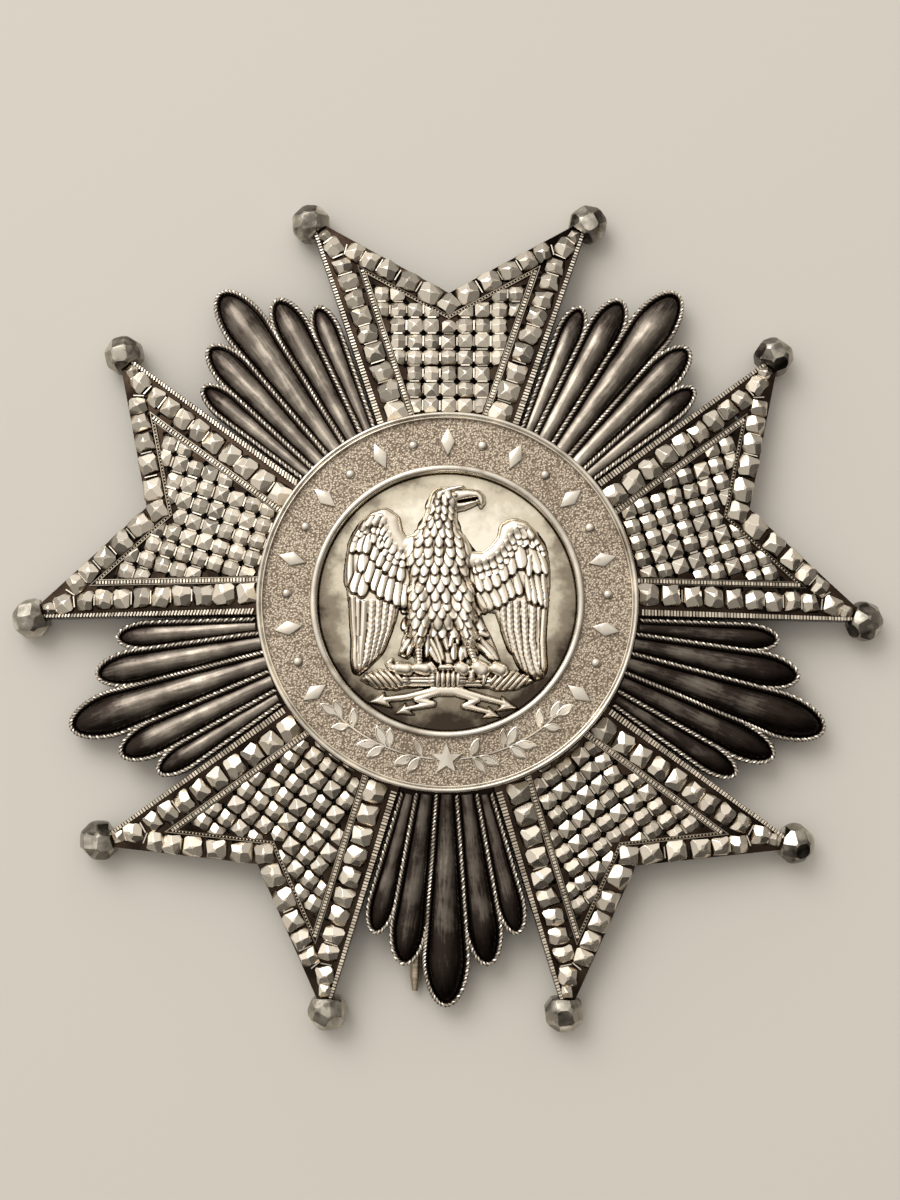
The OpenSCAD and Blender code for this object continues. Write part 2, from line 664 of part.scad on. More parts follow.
// Brooch pin on the back: hinge block, pin and catch in one plain piece
hinge = [4.8, 3.4];
hinge_at = [-1, 14];
catch = [2.4, 1.8];
catch_y = -29;
back_gap = 0.35;
pin_z = 1;
pin_tip = [-3.2, -39.6];
pin_point = [1.4, 0.6];
pin_run = pin_tip - hinge_at;
catch_x = hinge_at[0] + pin_run[0] * (catch_y - hinge_at[1]) / pin_run[1];

module brooch_pin() {
    color("lightgray") {
        translate([hinge_at[0] - hinge[0] / 2, hinge_at[1] - hinge[1] / 2, back_gap])
            cube([hinge[0], hinge[1], foot_z - fit_gap - back_gap]);
        translate([hinge_at[0], hinge_at[1], pin_z])
            rotate([0, 0, atan2(pin_run[1], pin_run[0]) - 90]) rotate([-90, 0, 0]) {
                cylinder(h = norm(pin_run) - pin_point[0], d = pin_d, $fn = 32);
                translate([0, 0, norm(pin_run) - pin_point[0]])
                    cylinder(h = pin_point[0], d1 = pin_d, d2 = pin_point[1], $fn = 32);
            }
        translate([catch_x - catch[0] / 2, catch_y - catch[1] / 2, back_gap])
            cube([catch[0], catch[1], seat_z(catch[1] / 2 - catch_y) - fit_gap - back_gap]);
    }
}

arm(ARM_AXES[0]);  // arm_1
arm(ARM_AXES[1]);  // arm_2
arm(ARM_AXES[2]);  // arm_3
arm(ARM_AXES[3]);  // arm_4
arm(ARM_AXES[4]);  // arm_5
for (i = [0 : 9])
    ball(ARM_AXES[floor(i / 2)], SIDES[i % 2], BALL_TURNS[i]);
for (i = [0 : 4])
    ray_fan(FAN_AXES[i]);
hub_plate();
medallion_ring();
centre_disc();
eagle();
brooch_pin();
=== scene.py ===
from itertools import product
from math import atan2, cos, hypot, pi, radians, sin, sqrt
from random import Random
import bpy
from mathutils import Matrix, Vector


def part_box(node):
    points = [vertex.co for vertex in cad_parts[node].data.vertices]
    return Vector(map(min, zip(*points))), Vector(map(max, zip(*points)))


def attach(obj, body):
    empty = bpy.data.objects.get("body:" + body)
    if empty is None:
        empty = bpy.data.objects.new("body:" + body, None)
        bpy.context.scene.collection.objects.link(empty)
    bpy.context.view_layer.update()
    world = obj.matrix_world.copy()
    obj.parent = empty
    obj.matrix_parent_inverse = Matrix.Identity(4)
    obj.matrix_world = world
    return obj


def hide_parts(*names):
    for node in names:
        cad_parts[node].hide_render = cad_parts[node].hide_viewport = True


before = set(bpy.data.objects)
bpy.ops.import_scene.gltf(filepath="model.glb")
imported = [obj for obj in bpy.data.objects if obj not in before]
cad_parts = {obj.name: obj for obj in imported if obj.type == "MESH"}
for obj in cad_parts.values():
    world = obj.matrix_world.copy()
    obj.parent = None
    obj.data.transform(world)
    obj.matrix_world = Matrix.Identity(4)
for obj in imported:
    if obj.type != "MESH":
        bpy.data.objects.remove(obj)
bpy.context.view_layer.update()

from types import SimpleNamespace

import bmesh
import bpy
import numpy as np
from bpy.props import FloatProperty, FloatVectorProperty, PointerProperty
from bpy.types import Operator, Panel, PropertyGroup
from mathutils import Euler, Matrix, Vector, noise

bl_info = {
    "name": "Breast star",
    "version": (1, 0, 0),
    "blender": (4, 5, 0),
    "location": "View3D > Sidebar > Breast star",
    "description": "Builds the visible silver of a pierced breast star over its packed model",
    "category": "Object",
}

MM = 0.001
SIDES = (-1, 1)
ARM_AXES = (90, 18, -54, -126, 162)
FAN_AXES = (54, -18, -90, -162, 126)
# Painted light and shade: how much darker each arm is painted than the average one, for how the
# light falls on it; below 0 it is painted lighter
ARM_PAINTED_LIGHT = (0.04, -0.02, -0.12, -0.14, -0.02)
# How each hand-cut ball happened to be turned when it was fixed on, in degrees
BALL_TURNS = (
    (0, 0, 0), (8, 0, 35), (35, 10, 20), (20, 30, 40), (30, 20, 10),
    (15, 0, 8), (35, 30, 0), (10, 25, 0), (20, -15, 5), (5, -10, 10),
)
# How far raised work reaches down into the plate that it stands on, in millimetres
ROOTED = 0.1


def cad_top(node):
    """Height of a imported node's highest point, in millimetres."""
    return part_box(node)[1].z / MM


def cad_radius(node):
    """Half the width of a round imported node, in millimetres."""
    low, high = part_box(node)
    return (high.x - low.x) / 2 / MM


# ---------------------------------------------------------------- sizes and colours


def linear(hex_colour):
    """An sRGB hex colour as linear red, green and blue."""
    parts = [int(hex_colour[i:i + 2], 16) / 255 for i in (1, 3, 5)]
    return [p / 12.92 if p <= 0.04045 else ((p + 0.055) / 1.055) ** 2.4 for p in parts]


def length(name, description, mm):
    return FloatProperty(
        name=name, description=description, default=mm * MM, min=0, precision=5, unit="LENGTH")


def angle(name, description, value):
    return FloatProperty(
        name=name, description=description, default=radians(value), unit="ROTATION")


def colour(name, description, value):
    return FloatVectorProperty(
        name=name, description=description, default=linear(value), size=3, min=0, max=1,
        subtype="COLOR")


class StarSizes(PropertyGroup):
    """Sizes of the star's pieces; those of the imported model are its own."""

    dome_angle: angle("Fall", "Fall of the arms and rays from the middle outwards", 8)
    side_angle: angle("Side angle", "Angle between an arm's axis and its side edges", 18.3)
    side_offset: length("Side offset", "Distance of each side edge from the star's axis", 1.12)
    notch_angle: angle("Notch slope", "Slope of the notch's edges", 30)
    notch_reach: length("Notch reach", "Distance from the axis to the notch's bottom", 33.1)
    arm_t: length("Arm thickness", "Thickness of an arm's plate", 1.2)
    arm_root_y: length("Arm root", "Distance from the axis to an arm's hidden inner end", 13.3)
    ball_w: length("Ball width", "Width of a ball across its flats", 4.1)
    ball_reach: length("Ball reach", "Distance from the axis to a ball's centre", 43.3)
    ball_angle: angle("Ball angle", "Angle between an arm's axis and its balls", 19.8)
    border_stud_w: length("Border stud", "Width of the largest border stud", 2.36)
    border_stud_h: length("Border stud height", "Height of a border stud", 1)
    field_stud_w: length("Field stud", "Width of a stud in the inner field", 1.68)
    field_stud_h: length("Field stud height", "Height of a field stud", 0.78)
    field_pitch: length("Stud pitch", "Distance between the field studs", 1.76)
    hole_d: length("Hole", "Diameter of the pierced holes", 0.66)
    tooth_pitch: length("Tooth pitch", "Distance between the teeth of a milled band", 0.33)
    bead_pitch: length("Bead pitch", "Distance between the beads below a notch", 0.35)
    fan_t: length("Fan thickness", "Thickness of the plate below the rays", 0.9)
    dome_sink: length("Dome sink", "Depth of a ray's own axis below its plate's face", 0.78)
    rope_d: length("Rope", "Diameter of the twisted rope wire", 0.5)
    rope_lay: length("Rope lay", "Length of one full turn of the rope's strands", 0.78)
    relief_step: length("Relief step", "Spacing of the points that shape the eagle", 0.07)


class StarColours(PropertyGroup):
    """Colours of the star's finishes and of the floor."""

    bright: colour("Bright silver", "Silver where it is polished or rubbed", "#F6ECDC")
    worn: colour("Worn silver", "Silver with a thin toning", "#B5A793")
    brown: colour("Brown toning", "Toning in the grounds", "#5F4E41")
    tarnish: colour("Tarnish", "Black tarnish in the recesses", "#1E1713")
    floor: colour("Floor", "Pale floor", "#D1CCC4")


def sizes():
    """The sizes in millimetres and radians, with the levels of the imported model."""
    group = bpy.context.scene.star_sizes
    found = {}
    for key, prop in group.bl_rna.properties.items():
        if prop.type == "FLOAT":
            value = getattr(group, key)
            found[key] = value if prop.unit == "ROTATION" else value / MM
    s = SimpleNamespace(**found)
    s.root_z = cad_top("hub_plate")
    s.rim_z = cad_top("medallion_ring")
    s.disc_z = cad_top("centre_disc")
    s.ring_r = cad_radius("medallion_ring")
    s.disc_r = cad_radius("centre_disc")
    s.ball_x = s.ball_reach * sin(s.ball_angle)
    s.ball_y = s.ball_reach * cos(s.ball_angle) / cos(s.dome_angle)
    s.tip_angle = (s.side_angle + pi / 2 - s.notch_angle) / 2
    return s


def colours():
    return bpy.context.scene.star_colours


# ---------------------------------------------------------------- modelling helpers


def deselect():
    if bpy.context.mode != "OBJECT":
        bpy.ops.object.mode_set(mode="OBJECT")
    bpy.ops.object.select_all(action="DESELECT")


def activate(*pieces):
    deselect()
    for piece in pieces:
        piece.select_set(True)
    bpy.context.view_layer.objects.active = pieces[0]


def join(pieces):
    """Joins pieces into the first one."""
    activate(*pieces)
    if len(pieces) > 1:
        bpy.ops.object.join()
    return bpy.context.object


def link(piece):
    bpy.context.scene.collection.objects.link(piece)
    return piece


def primitive(add, **settings):
    """Calls one of Blender's operators that add a mesh and returns the new piece."""
    deselect()
    add(**settings)
    return bpy.context.object


def discard(*pieces):
    for piece in pieces:
        mesh = piece.data
        bpy.data.objects.remove(piece)
        bpy.data.meshes.remove(mesh)


def use_modifier(piece, kind, **settings):
    """Adds a modifier with its settings and applies it."""
    activate(piece)
    modifier = piece.modifiers.new(kind.title(), kind)
    for key, value in settings.items():
        setattr(modifier, key, value)
    bpy.ops.object.modifier_apply(modifier=modifier.name)
    return piece


def subtract(piece, tool):
    return use_modifier(
        piece, "BOOLEAN", object=tool, operation="DIFFERENCE", solver="MANIFOLD")


def face_outward():
    """Turns every face of the piece in edit mode outward and leaves that mode."""
    bpy.ops.mesh.select_all(action="SELECT")
    bpy.ops.mesh.normals_make_consistent(inside=False)
    bpy.ops.object.mode_set(mode="OBJECT")


def slab(points, low, high):
    """A flat plate of the given outline between two heights."""
    plate = primitive(
        bpy.ops.mesh.primitive_circle_add, vertices=len(points), fill_type="NGON")
    for vertex, (x, y) in zip(plate.data.vertices, points):
        vertex.co = (x, y, low)
    bpy.ops.object.mode_set(mode="EDIT")
    bpy.ops.mesh.select_all(action="SELECT")
    bpy.ops.mesh.extrude_region_move(TRANSFORM_OT_translate={"value": (0, 0, high - low)})
    face_outward()
    return plate


def cut_away(piece, cuts):
    """Cuts a closed piece by planes, each given by a point and the direction cut away."""
    activate(piece)
    bpy.ops.object.mode_set(mode="EDIT")
    for point, direction in cuts:
        bpy.ops.mesh.select_all(action="SELECT")
        bpy.ops.mesh.bisect(
            plane_co=point, plane_no=direction, use_fill=True, clear_outer=True)
    bpy.ops.object.mode_set(mode="OBJECT")
    return piece


def inset_top(piece, *steps):
    """Insets a piece's highest face in steps, each by a distance inwards and one upwards."""
    bpy.ops.object.mode_set(mode="EDIT")
    bpy.ops.mesh.select_mode(type="FACE")
    bpy.ops.mesh.select_all(action="DESELECT")
    bpy.ops.object.mode_set(mode="OBJECT")
    max(piece.data.polygons, key=lambda polygon: polygon.center.z).select = True
    bpy.ops.object.mode_set(mode="EDIT")
    for inwards, upwards in steps:
        bpy.ops.mesh.inset(thickness=inwards, depth=upwards)
    bpy.ops.object.mode_set(mode="OBJECT")


def block(width, depth, low, high):
    """A rectangular block standing on the height low."""
    piece = primitive(
        bpy.ops.mesh.primitive_cube_add, size=1, location=(0, 0, (low + high) / 2))
    piece.scale = (width, depth, high - low)
    bpy.ops.object.transform_apply(location=True, rotation=True, scale=True)
    return piece


def share_of(value):
    """A number kept between 0 and 1."""
    return min(max(value, 0), 1)


def wire(paths, radius):
    """Round wires along open paths, fused into one mesh piece."""
    curve = bpy.data.curves.new("wire", "CURVE")
    curve.dimensions = "3D"
    curve.bevel_depth = radius
    curve.bevel_resolution = 1
    curve.use_fill_caps = True
    for path in paths:
        spline = curve.splines.new("POLY")
        spline.points.add(len(path) - 1)
        for point, place in zip(spline.points, path):
            point.co = (*place, 1)
    activate(link(bpy.data.objects.new("wire", curve)))
    bpy.ops.object.convert(target="MESH")
    return bpy.context.object


def scatter(placements, seed=0, tint=0.5):
    """One piece from copies of templates. A placement is a template and its matrix."""
    chance = Random(seed)
    whole = bmesh.new()
    layer = whole.verts.layers.float.new("tint")
    for template, place in placements:
        first = len(whole.verts)
        whole.from_mesh(template.data)
        whole.verts.ensure_lookup_table()
        shade = 0.5 + tint * (chance.random() - 0.5) * 2
        for vertex in whole.verts[first:]:
            vertex.co = place @ vertex.co
            vertex[layer] = shade
    mesh = bpy.data.meshes.new("copies")
    whole.to_mesh(mesh)
    whole.free()
    return link(bpy.data.objects.new("copies", mesh))


def at(x, y, z=0.0, turn=0.0, scale=(1, 1, 1)):
    """Matrix of a place in a plate's plane."""
    return (
        Matrix.Translation((x, y, z)) @ Matrix.Rotation(turn, 4, "Z")
        @ Matrix.Diagonal((*scale, 1)))


def mark(piece, name, value):
    """Writes a number on each point, worked out from the point's place."""
    layer = piece.data.attributes.get(name)
    if layer is None:
        layer = piece.data.attributes.new(name, "FLOAT", "POINT")
    for vertex, entry in zip(piece.data.vertices, layer.data):
        entry.value = value(vertex.co)


def finish_piece(piece, name, nodes, material, smooth=None):
    activate(piece)
    piece.scale = (MM, MM, MM)
    bpy.ops.object.transform_apply(location=True, rotation=True, scale=True)
    if smooth is None:
        bpy.ops.object.shade_flat()
    else:
        bpy.ops.object.shade_smooth_by_angle(angle=radians(smooth))
    piece.name = name
    piece.data.name = name
    piece.data.materials.clear()
    piece.data.materials.append(material)
    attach(piece, "root")
    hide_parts(*nodes)
    return piece


def plate_place(s, axis):
    """Matrix that lays a flat part onto the star's fallen surface."""
    return (
        Matrix.Rotation(radians(axis - 90), 4, "Z") @ Matrix.Translation((0, 0, s.root_z))
        @ Matrix.Rotation(-s.dome_angle, 4, "X"))


# ---------------------------------------------------------------- materials


def add_node(tree, kind, settings=(), **links):
    """Adds a node; links give its inputs as a number, a colour or another node's output."""
    node = tree.nodes.new(kind)
    for key, value in dict(settings).items():
        setattr(node, key, value)
    for key, value in links.items():
        name = key.replace("_", " ")
        socket = node.inputs[int(name[1:])] if name[1:].isdigit() else node.inputs[name]
        if isinstance(value, bpy.types.NodeSocket):
            tree.links.new(value, socket)
        else:
            socket.default_value = value
    return node


def rgba(value):
    return (*value, 1)


def start_material(name, roughness):
    material = bpy.data.materials.new(name)
    material.use_nodes = True
    tree = material.node_tree
    shader = tree.nodes["Principled BSDF"]
    shader.inputs["Metallic"].default_value = 1
    shader.inputs["Roughness"].default_value = roughness
    place = add_node(tree, "ShaderNodeTexCoord").outputs["Object"]
    return material, tree, shader, place


def ramp(tree, value, stops, smooth=True):
    """A colour ramp over a value; stops are places and colours."""
    node = add_node(tree, "ShaderNodeValToRGB", Fac=value)
    band = node.color_ramp
    band.interpolation = "EASE" if smooth else "LINEAR"
    while len(band.elements) < len(stops):
        band.elements.new(0.5)
    for element, (position, tone) in zip(band.elements, stops):
        element.position = position
        element.color = rgba(tone)
    return node.outputs["Color"]


def math(tree, operation, a, b=0.0, clamp=False, plus=0.5):
    """Result of a math node. Only MULTIPLY_ADD uses plus, as a * b + plus."""
    return add_node(
        tree, "ShaderNodeMath", {"operation": operation, "use_clamp": clamp},
        _0=a, _1=b, _2=plus).outputs[0]


def cloud(tree, place, mm, detail=4.0, rough=0.55):
    """Noise whose blotches are about the given size."""
    return add_node(
        tree, "ShaderNodeTexNoise", Vector=place, Scale=1 / (mm * MM), Detail=detail,
        Roughness=rough).outputs["Fac"]


def attribute(tree, name):
    return add_node(tree, "ShaderNodeAttribute", {"attribute_name": name}).outputs["Fac"]


def bump(tree, shader, height, strength, depth_mm):
    node = add_node(
        tree, "ShaderNodeBump", Height=height, Strength=strength, Distance=depth_mm * MM)
    tree.links.new(node.outputs["Normal"], shader.inputs["Normal"])


def swing(tree, value, middle, scale):
    """How far a value lies from its middle, scaled."""
    return math(tree, "MULTIPLY", math(tree, "SUBTRACT", value, middle), scale)


def paint(tree, shader, tone, rough=None):
    """Wires a colour, and a roughness where there is one, into the shader."""
    tree.links.new(tone, shader.inputs["Base Color"])
    if rough:
        tree.links.new(rough, shader.inputs["Roughness"])


def worked_silver(name, low, high, roughness, grain_mm=0.25, grain_depth=0.02, patchy=0.35):
    """Silver that is bright on its high points and toned in its recesses.

    The attribute rise says how high a point stands and tint how copies differ. The third attribute
    says how much darker a facet is than its neighbours: partly a less polished cut, partly painted
    reflection for the part of the room each facet would mirror, with each arm's painted light and
    shade added.
    """
    c = colours()
    material, tree, shader, place = start_material(name, roughness)
    patches = cloud(tree, place, 3.5)
    rise = attribute(tree, "rise")
    level = math(tree, "ADD", rise, swing(tree, patches, 0.5, patchy), clamp=True)
    tone = ramp(tree, level, (
        (0, c.tarnish), (low, c.brown), ((low + high) / 2, c.worn), (high, c.bright)))
    tint = math(tree, "MULTIPLY_ADD", attribute(tree, "tint"), 0.5, plus=0.62)
    # Painted reflection and painted light: each facet and each arm darker or lighter by its own
    # amount
    tint = math(tree, "SUBTRACT", tint, attribute(tree, "facet_dullness_and_painted_light"))
    shaded = add_node(
        tree, "ShaderNodeMix", {"data_type": "RGBA", "blend_type": "MULTIPLY"},
        _0=1.0, _6=tone, _7=tint).outputs[2]
    grain = cloud(tree, place, grain_mm, 3.0)
    rough = math(tree, "MULTIPLY_ADD", grain, 0.25, plus=roughness - 0.12)
    paint(tree, shader, shaded, rough)
    bump(tree, shader, grain, 0.6, grain_depth)
    return material


def cut_silver():
    """Silver plate with hand-cut studs: bright facets, brown toning down in the gaps."""
    return worked_silver("Silver, cut and pierced", 0.18, 0.56, 0.25, 0.3, 0.008, 0.26)


def ball_silver():
    """Solid silver cut into facets by hand and toned grey, with painted reflection: each facet
    painted lighter or darker to its own degree, as if it mirrored its own part of the room.
    """
    material, tree, shader, place = start_material("Silver, facet-cut and toned", 0.25)
    patches = cloud(tree, place, 1.5, 5.0)
    level = math(tree, "MULTIPLY_ADD", patches, 1.1, plus=-0.1)
    # Painted reflection: each facet lighter or darker by its own amount; the narrow worn bevels a
    # little lighter
    level = math(tree, "ADD", level, attribute(tree, "edge"))
    paint(tree, shader, ramp(tree, level, (
        (0.12, linear("#302A25")), (0.36, linear("#6E6961")), (0.56, linear("#A39D92")),
        (0.9, linear("#E6E0D4")))))
    bump(tree, shader, cloud(tree, place, 0.35, 4.0), 0.3, 0.012)
    return material


def oxidised_silver():
    """Silver blackened by sulphur and rubbed: dark domes with a worn crown, bright rope."""
    c = colours()
    material, tree, shader, place = start_material("Silver, oxidised and rubbed", 0.36)
    along_ray = add_node(tree, "ShaderNodeUVMap", {"uv_map": "Along"}).outputs["UV"]
    stretched = add_node(
        tree, "ShaderNodeMapping", {}, Vector=along_ray, Scale=(4.0, 0.4, 1.0)
    ).outputs["Vector"]
    wear = add_node(
        tree, "ShaderNodeTexNoise", Vector=stretched, Scale=1.0, Detail=6.0, Roughness=0.6
    ).outputs["Fac"]
    patches = cloud(tree, place, 4.0, 6.0, 0.6)
    uneven = math(tree, "ADD", swing(tree, wear, 0.5, 0.5), swing(tree, patches, 0.5, 0.9))
    # Each fan darker by its own amount: partly tarnish, partly painted shade
    uneven = math(tree, "SUBTRACT", uneven, attribute(tree, "toning"))
    rubbed = math(tree, "ADD", attribute(tree, "rise"), uneven)
    rubbed = math(tree, "MAXIMUM", rubbed, attribute(tree, "wire"))
    tone = ramp(tree, rubbed, (
        (0.05, c.tarnish), (0.35, linear("#352D29")), (0.58, linear("#6E665E")),
        (0.8, linear("#A0978B")), (1.0, linear("#D8D0C4"))))
    paint(tree, shader, tone, math(tree, "MULTIPLY_ADD", wear, 0.22, plus=0.16))
    bump(tree, shader, wear, 0.3, 0.02)
    return material


def struck_silver():
    """Struck silver: smooth rubbed rims and ornaments over a punched, brown-toned band."""
    c = colours()
    material, tree, shader, place = start_material("Silver, struck and punched", 0.3)
    raised = math(tree, "MULTIPLY", attribute(tree, "rise"), 2.5, True)
    ground = math(tree, "SUBTRACT", 1.0, raised, True)
    cells = add_node(
        tree, "ShaderNodeTexVoronoi", Vector=place, Scale=1 / (0.22 * MM), Randomness=1.0
    ).outputs["Distance"]
    punched = math(tree, "SUBTRACT", cloud(tree, place, 0.16, 3.0), cells)
    patches = cloud(tree, place, 4.0, 5.0)
    hollow = math(tree, "ADD", punched, math(tree, "MULTIPLY", patches, 0.35))
    low_tone = ramp(tree, hollow, (
        (0.0, linear("#7C6E60")), (0.2, linear("#A89A89")), (0.42, linear("#C4B8A7")),
        (0.7, linear("#DCD2C3"))))
    high_tone = ramp(tree, patches, (
        (0.3, linear("#A79C8D")), (0.52, linear("#D9D2C6")), (0.7, c.bright)))
    tone = add_node(
        tree, "ShaderNodeMix", {"data_type": "RGBA"}, _0=raised, _6=low_tone, _7=high_tone
    ).outputs[2]
    paint(tree, shader, tone, math(tree, "MULTIPLY_ADD", ground, 0.2, plus=0.24))
    scratches = math(tree, "MULTIPLY", cloud(tree, place, 0.5, 6.0), 0.12)
    relief = math(tree, "ADD", math(tree, "MULTIPLY", punched, ground), scratches)
    bump(tree, shader, relief, 1.0, 0.045)
    return material


def relief_silver():
    """Cast and chased silver: polished feathers with black left in every line."""
    return worked_silver("Silver, cast and chased", 0.22, 0.68, 0.25, 0.5, 0.006, 0.2)


def ground_silver():
    """Rolled silver with a satin ground: pale and cloudy, with painted shade that darkens it
    towards its edge beside the ring's rim and towards its lower side.
    """
    material, tree, shader, place = start_material("Silver, satin ground", 0.34)
    split = add_node(tree, "ShaderNodeSeparateXYZ", Vector=place).outputs
    flat = add_node(tree, "ShaderNodeCombineXYZ", X=split["X"], Y=split["Y"]).outputs["Vector"]
    reach = add_node(
        tree, "ShaderNodeVectorMath", {"operation": "LENGTH"}, _0=flat).outputs["Value"]
    # Painted shade: darker towards the edge, where the ring's rim shades the disc
    edge = math(tree, "POWER", math(tree, "DIVIDE", reach, 13.1 * MM), 4.0)
    # Painted shade and reflection: the disc darker towards its lower side and brighter towards its
    # top
    painted_shade_low_side = math(tree, "MULTIPLY", split["Y"], -24.0)
    clouds = cloud(tree, place, 3.5, 6.0, 0.6)
    level = math(
        tree, "ADD", math(tree, "MULTIPLY", edge, 0.5), swing(tree, clouds, 0.28, 1.1))
    level = math(tree, "ADD", level, painted_shade_low_side)
    paint(tree, shader, ramp(tree, level, (
        (0.1, linear("#F6EFDF")), (0.38, linear("#D2C9B6")), (0.66, linear("#8A8070")),
        (0.95, linear("#40372F")))))
    bump(tree, shader, cloud(tree, place, 0.25, 3.0), 0.4, 0.01)
    return material


def back_silver():
    """Plain silver of the back: filed flat, toned brown and grey."""
    c = colours()
    material, tree, shader, place = start_material("Silver, plain back", 0.38)
    clouds = cloud(tree, place, 6.0, 5.0)
    files = add_node(
        tree, "ShaderNodeMapping", {}, Vector=place, Scale=(1.0, 14.0, 1.0)).outputs["Vector"]
    marks = cloud(tree, files, 2.5, 5.0)
    level = math(tree, "ADD", clouds, swing(tree, marks, 0.5, 0.6))
    paint(tree, shader, ramp(tree, level, (
        (0.3, linear("#5A5048")), (0.55, c.worn), (0.8, linear("#D5CCBD")))))
    bump(tree, shader, marks, 0.4, 0.02)
    return material


def floor_stone():
    """Honed pale floor: plain, almost matt."""
    material, _, shader, _ = start_material("Floor, honed", 0.6)
    shader.inputs["Metallic"].default_value = 0
    shader.inputs["Base Color"].default_value = rgba(colours().floor)
    return material


# ---------------------------------------------------------------- arms

# Where an arm's rows and bands begin, just inside the ring's edge
ROWS_FROM = 18.6
SIDE_STUDS, NOTCH_STUDS = 10, 5
# Share of the walls between its border studs that each arm has kept
BORDER_WALLS = (0.8, 0.5, 0.15, 0.15, 0.8)


def side_x(s, y, inset):
    """Place of a line that runs at a distance inside an arm's side edge."""
    return (s.side_offset - inset + y * sin(s.side_angle)) / cos(s.side_angle)


def notch_y(s, x, inset):
    """Place of a line that runs at a distance inside an arm's notch edge."""
    return (s.notch_reach * cos(s.notch_angle) - inset + x * sin(s.notch_angle)) / cos(
        s.notch_angle)


def corner(s, side, notch):
    """Where a line inside the side edge meets a line inside the notch edge."""
    a = s.side_offset - side
    b = s.notch_reach * cos(s.notch_angle) - notch
    turn = cos(s.side_angle + s.notch_angle)
    return (
        (a * cos(s.notch_angle) + b * sin(s.side_angle)) / turn,
        (b * cos(s.side_angle) + a * sin(s.notch_angle)) / turn)


def arm_ends(s, back=1.55):
    """The two planes that end an arm short of its balls."""
    ends = []
    for side in SIDES:
        out = Vector((side * sin(s.tip_angle), cos(s.tip_angle), 0))
        ends.append((Vector((side * s.ball_x, s.ball_y, 0)) - out * back, out))
    return ends


def facet_stud(seed, rough_cut):
    """A stone-like stud of unit width and height, with facets that differ from stud to stud."""
    chance = Random(seed)
    stud = block(1, 1, -0.12, 1)

    def cut(azimuth, slope, reach, height):
        azimuth = radians(azimuth + chance.uniform(-5, 5) * rough_cut)
        slope = radians(slope + chance.uniform(-4, 4) * rough_cut)
        reach += chance.uniform(-0.025, 0.025) * rough_cut
        out = Vector((cos(azimuth) * cos(slope), sin(azimuth) * cos(slope), sin(slope)))
        return Vector((cos(azimuth) * reach, sin(azimuth) * reach, height)), out

    cuts = [cut(45 + 90 * k, 9, 0.63, 0) for k in range(4)]
    cuts += [cut(90 * k, 11, 0.5, 0.12) for k in range(4)]
    first = chance.choice((0, 0, 45, 45, 22, 68))
    cuts += [cut(first + 90 * k, 38, 0.31, 0.58) for k in range(4)]
    cuts += [cut(first + 45 + 90 * k, 56, 0.2, 0.78) for k in range(4)]
    if rough_cut > 1:
        cuts.append(cut(chance.uniform(0, 360), 24, 0.42, 0.4))
    lean = Vector((chance.uniform(-0.2, 0.2), chance.uniform(-0.2, 0.2), 1)).normalized()
    cuts.append((Vector((0, 0, 0.91)), lean))
    cut_away(stud, cuts)
    return use_modifier(stud, "BEVEL", width=0.015, segments=1, limit_method="ANGLE")


def border_studs(s):
    """Border studs of the right half: x, y, width across, width along, turn of the row.

    The first ten follow the side edge, the next five the notch edge; the last two stand in the
    tip, the smaller one first.
    """
    found = []
    for k in range(SIDE_STUDS):
        t = k / 8
        y = s.ball_y - 5.14 - k * 1.8 - k * (k - 1) * 0.03
        found.append((
            side_x(s, y, 1.77 + 0.48 * t), y, s.border_stud_w * (0.86 + 0.14 * t),
            (1.8 + 0.06 * k) * 0.98, -s.side_angle))
    for k in range(NOTCH_STUDS):
        t = k / 4
        x = s.ball_x - 4.82 - k * 1.6 - k * (k - 1) * 0.12
        found.append((
            x, notch_y(s, x, 1.08), s.border_stud_w * (0.84 + 0.1 * t), 1.78 + 0.16 * k,
            s.notch_angle - pi / 2))
    for back, width in ((2.3, 1.34), (3.86, 2.05)):
        found.append((
            s.ball_x - back * sin(s.tip_angle), s.ball_y - back * cos(s.tip_angle), width,
            width, -s.tip_angle))
    return found


def field_grid(s):
    """Grid places of the field studs, as column and row; outer ones are cut by the bands."""
    found = set()
    for row in range(-1, 10):
        for column in range(-5, 6):
            x, y = grid_place(s, column, row)
            if abs(x) <= side_x(s, y, 3.7) and y <= notch_y(s, abs(x), 2.25):
                found.add((column, row))
    return found


def grid_place(s, column, row):
    return column * s.field_pitch, s.ring_r + 1.25 + row * s.field_pitch


def neighbours(s):
    """Pairs of border studs that follow each other: those by the side, those by the notch."""
    rows = border_studs(s)
    side, notch = rows[:SIDE_STUDS], rows[SIDE_STUDS:SIDE_STUDS + NOTCH_STUDS]
    return list(zip(side, side[1:])), list(zip(notch, notch[1:]))


def hole_places(s, grid):
    """Pierced holes: at the grid's corners and along the inner side of the border rows."""
    found = set()
    for column, row in grid:
        for i in (-0.5, 0.5):
            for j in (-0.5, 0.5):
                x, y = grid_place(s, column + i, row + j)
                if abs(x) <= side_x(s, y, 4.2) and 19.9 < y <= notch_y(s, abs(x), 2.95):
                    found.add((round(x, 3), round(y, 3)))
    by_side, by_notch = neighbours(s)
    for a, b in by_side:
        y = (a[1] + b[1]) / 2
        found |= {(side * side_x(s, y, 3.02), y) for side in SIDES}
    for a, b in by_notch:
        x = (a[0] + b[0]) / 2
        found |= {(side * x, notch_y(s, x, 1.98)) for side in SIDES}
    return sorted(found)


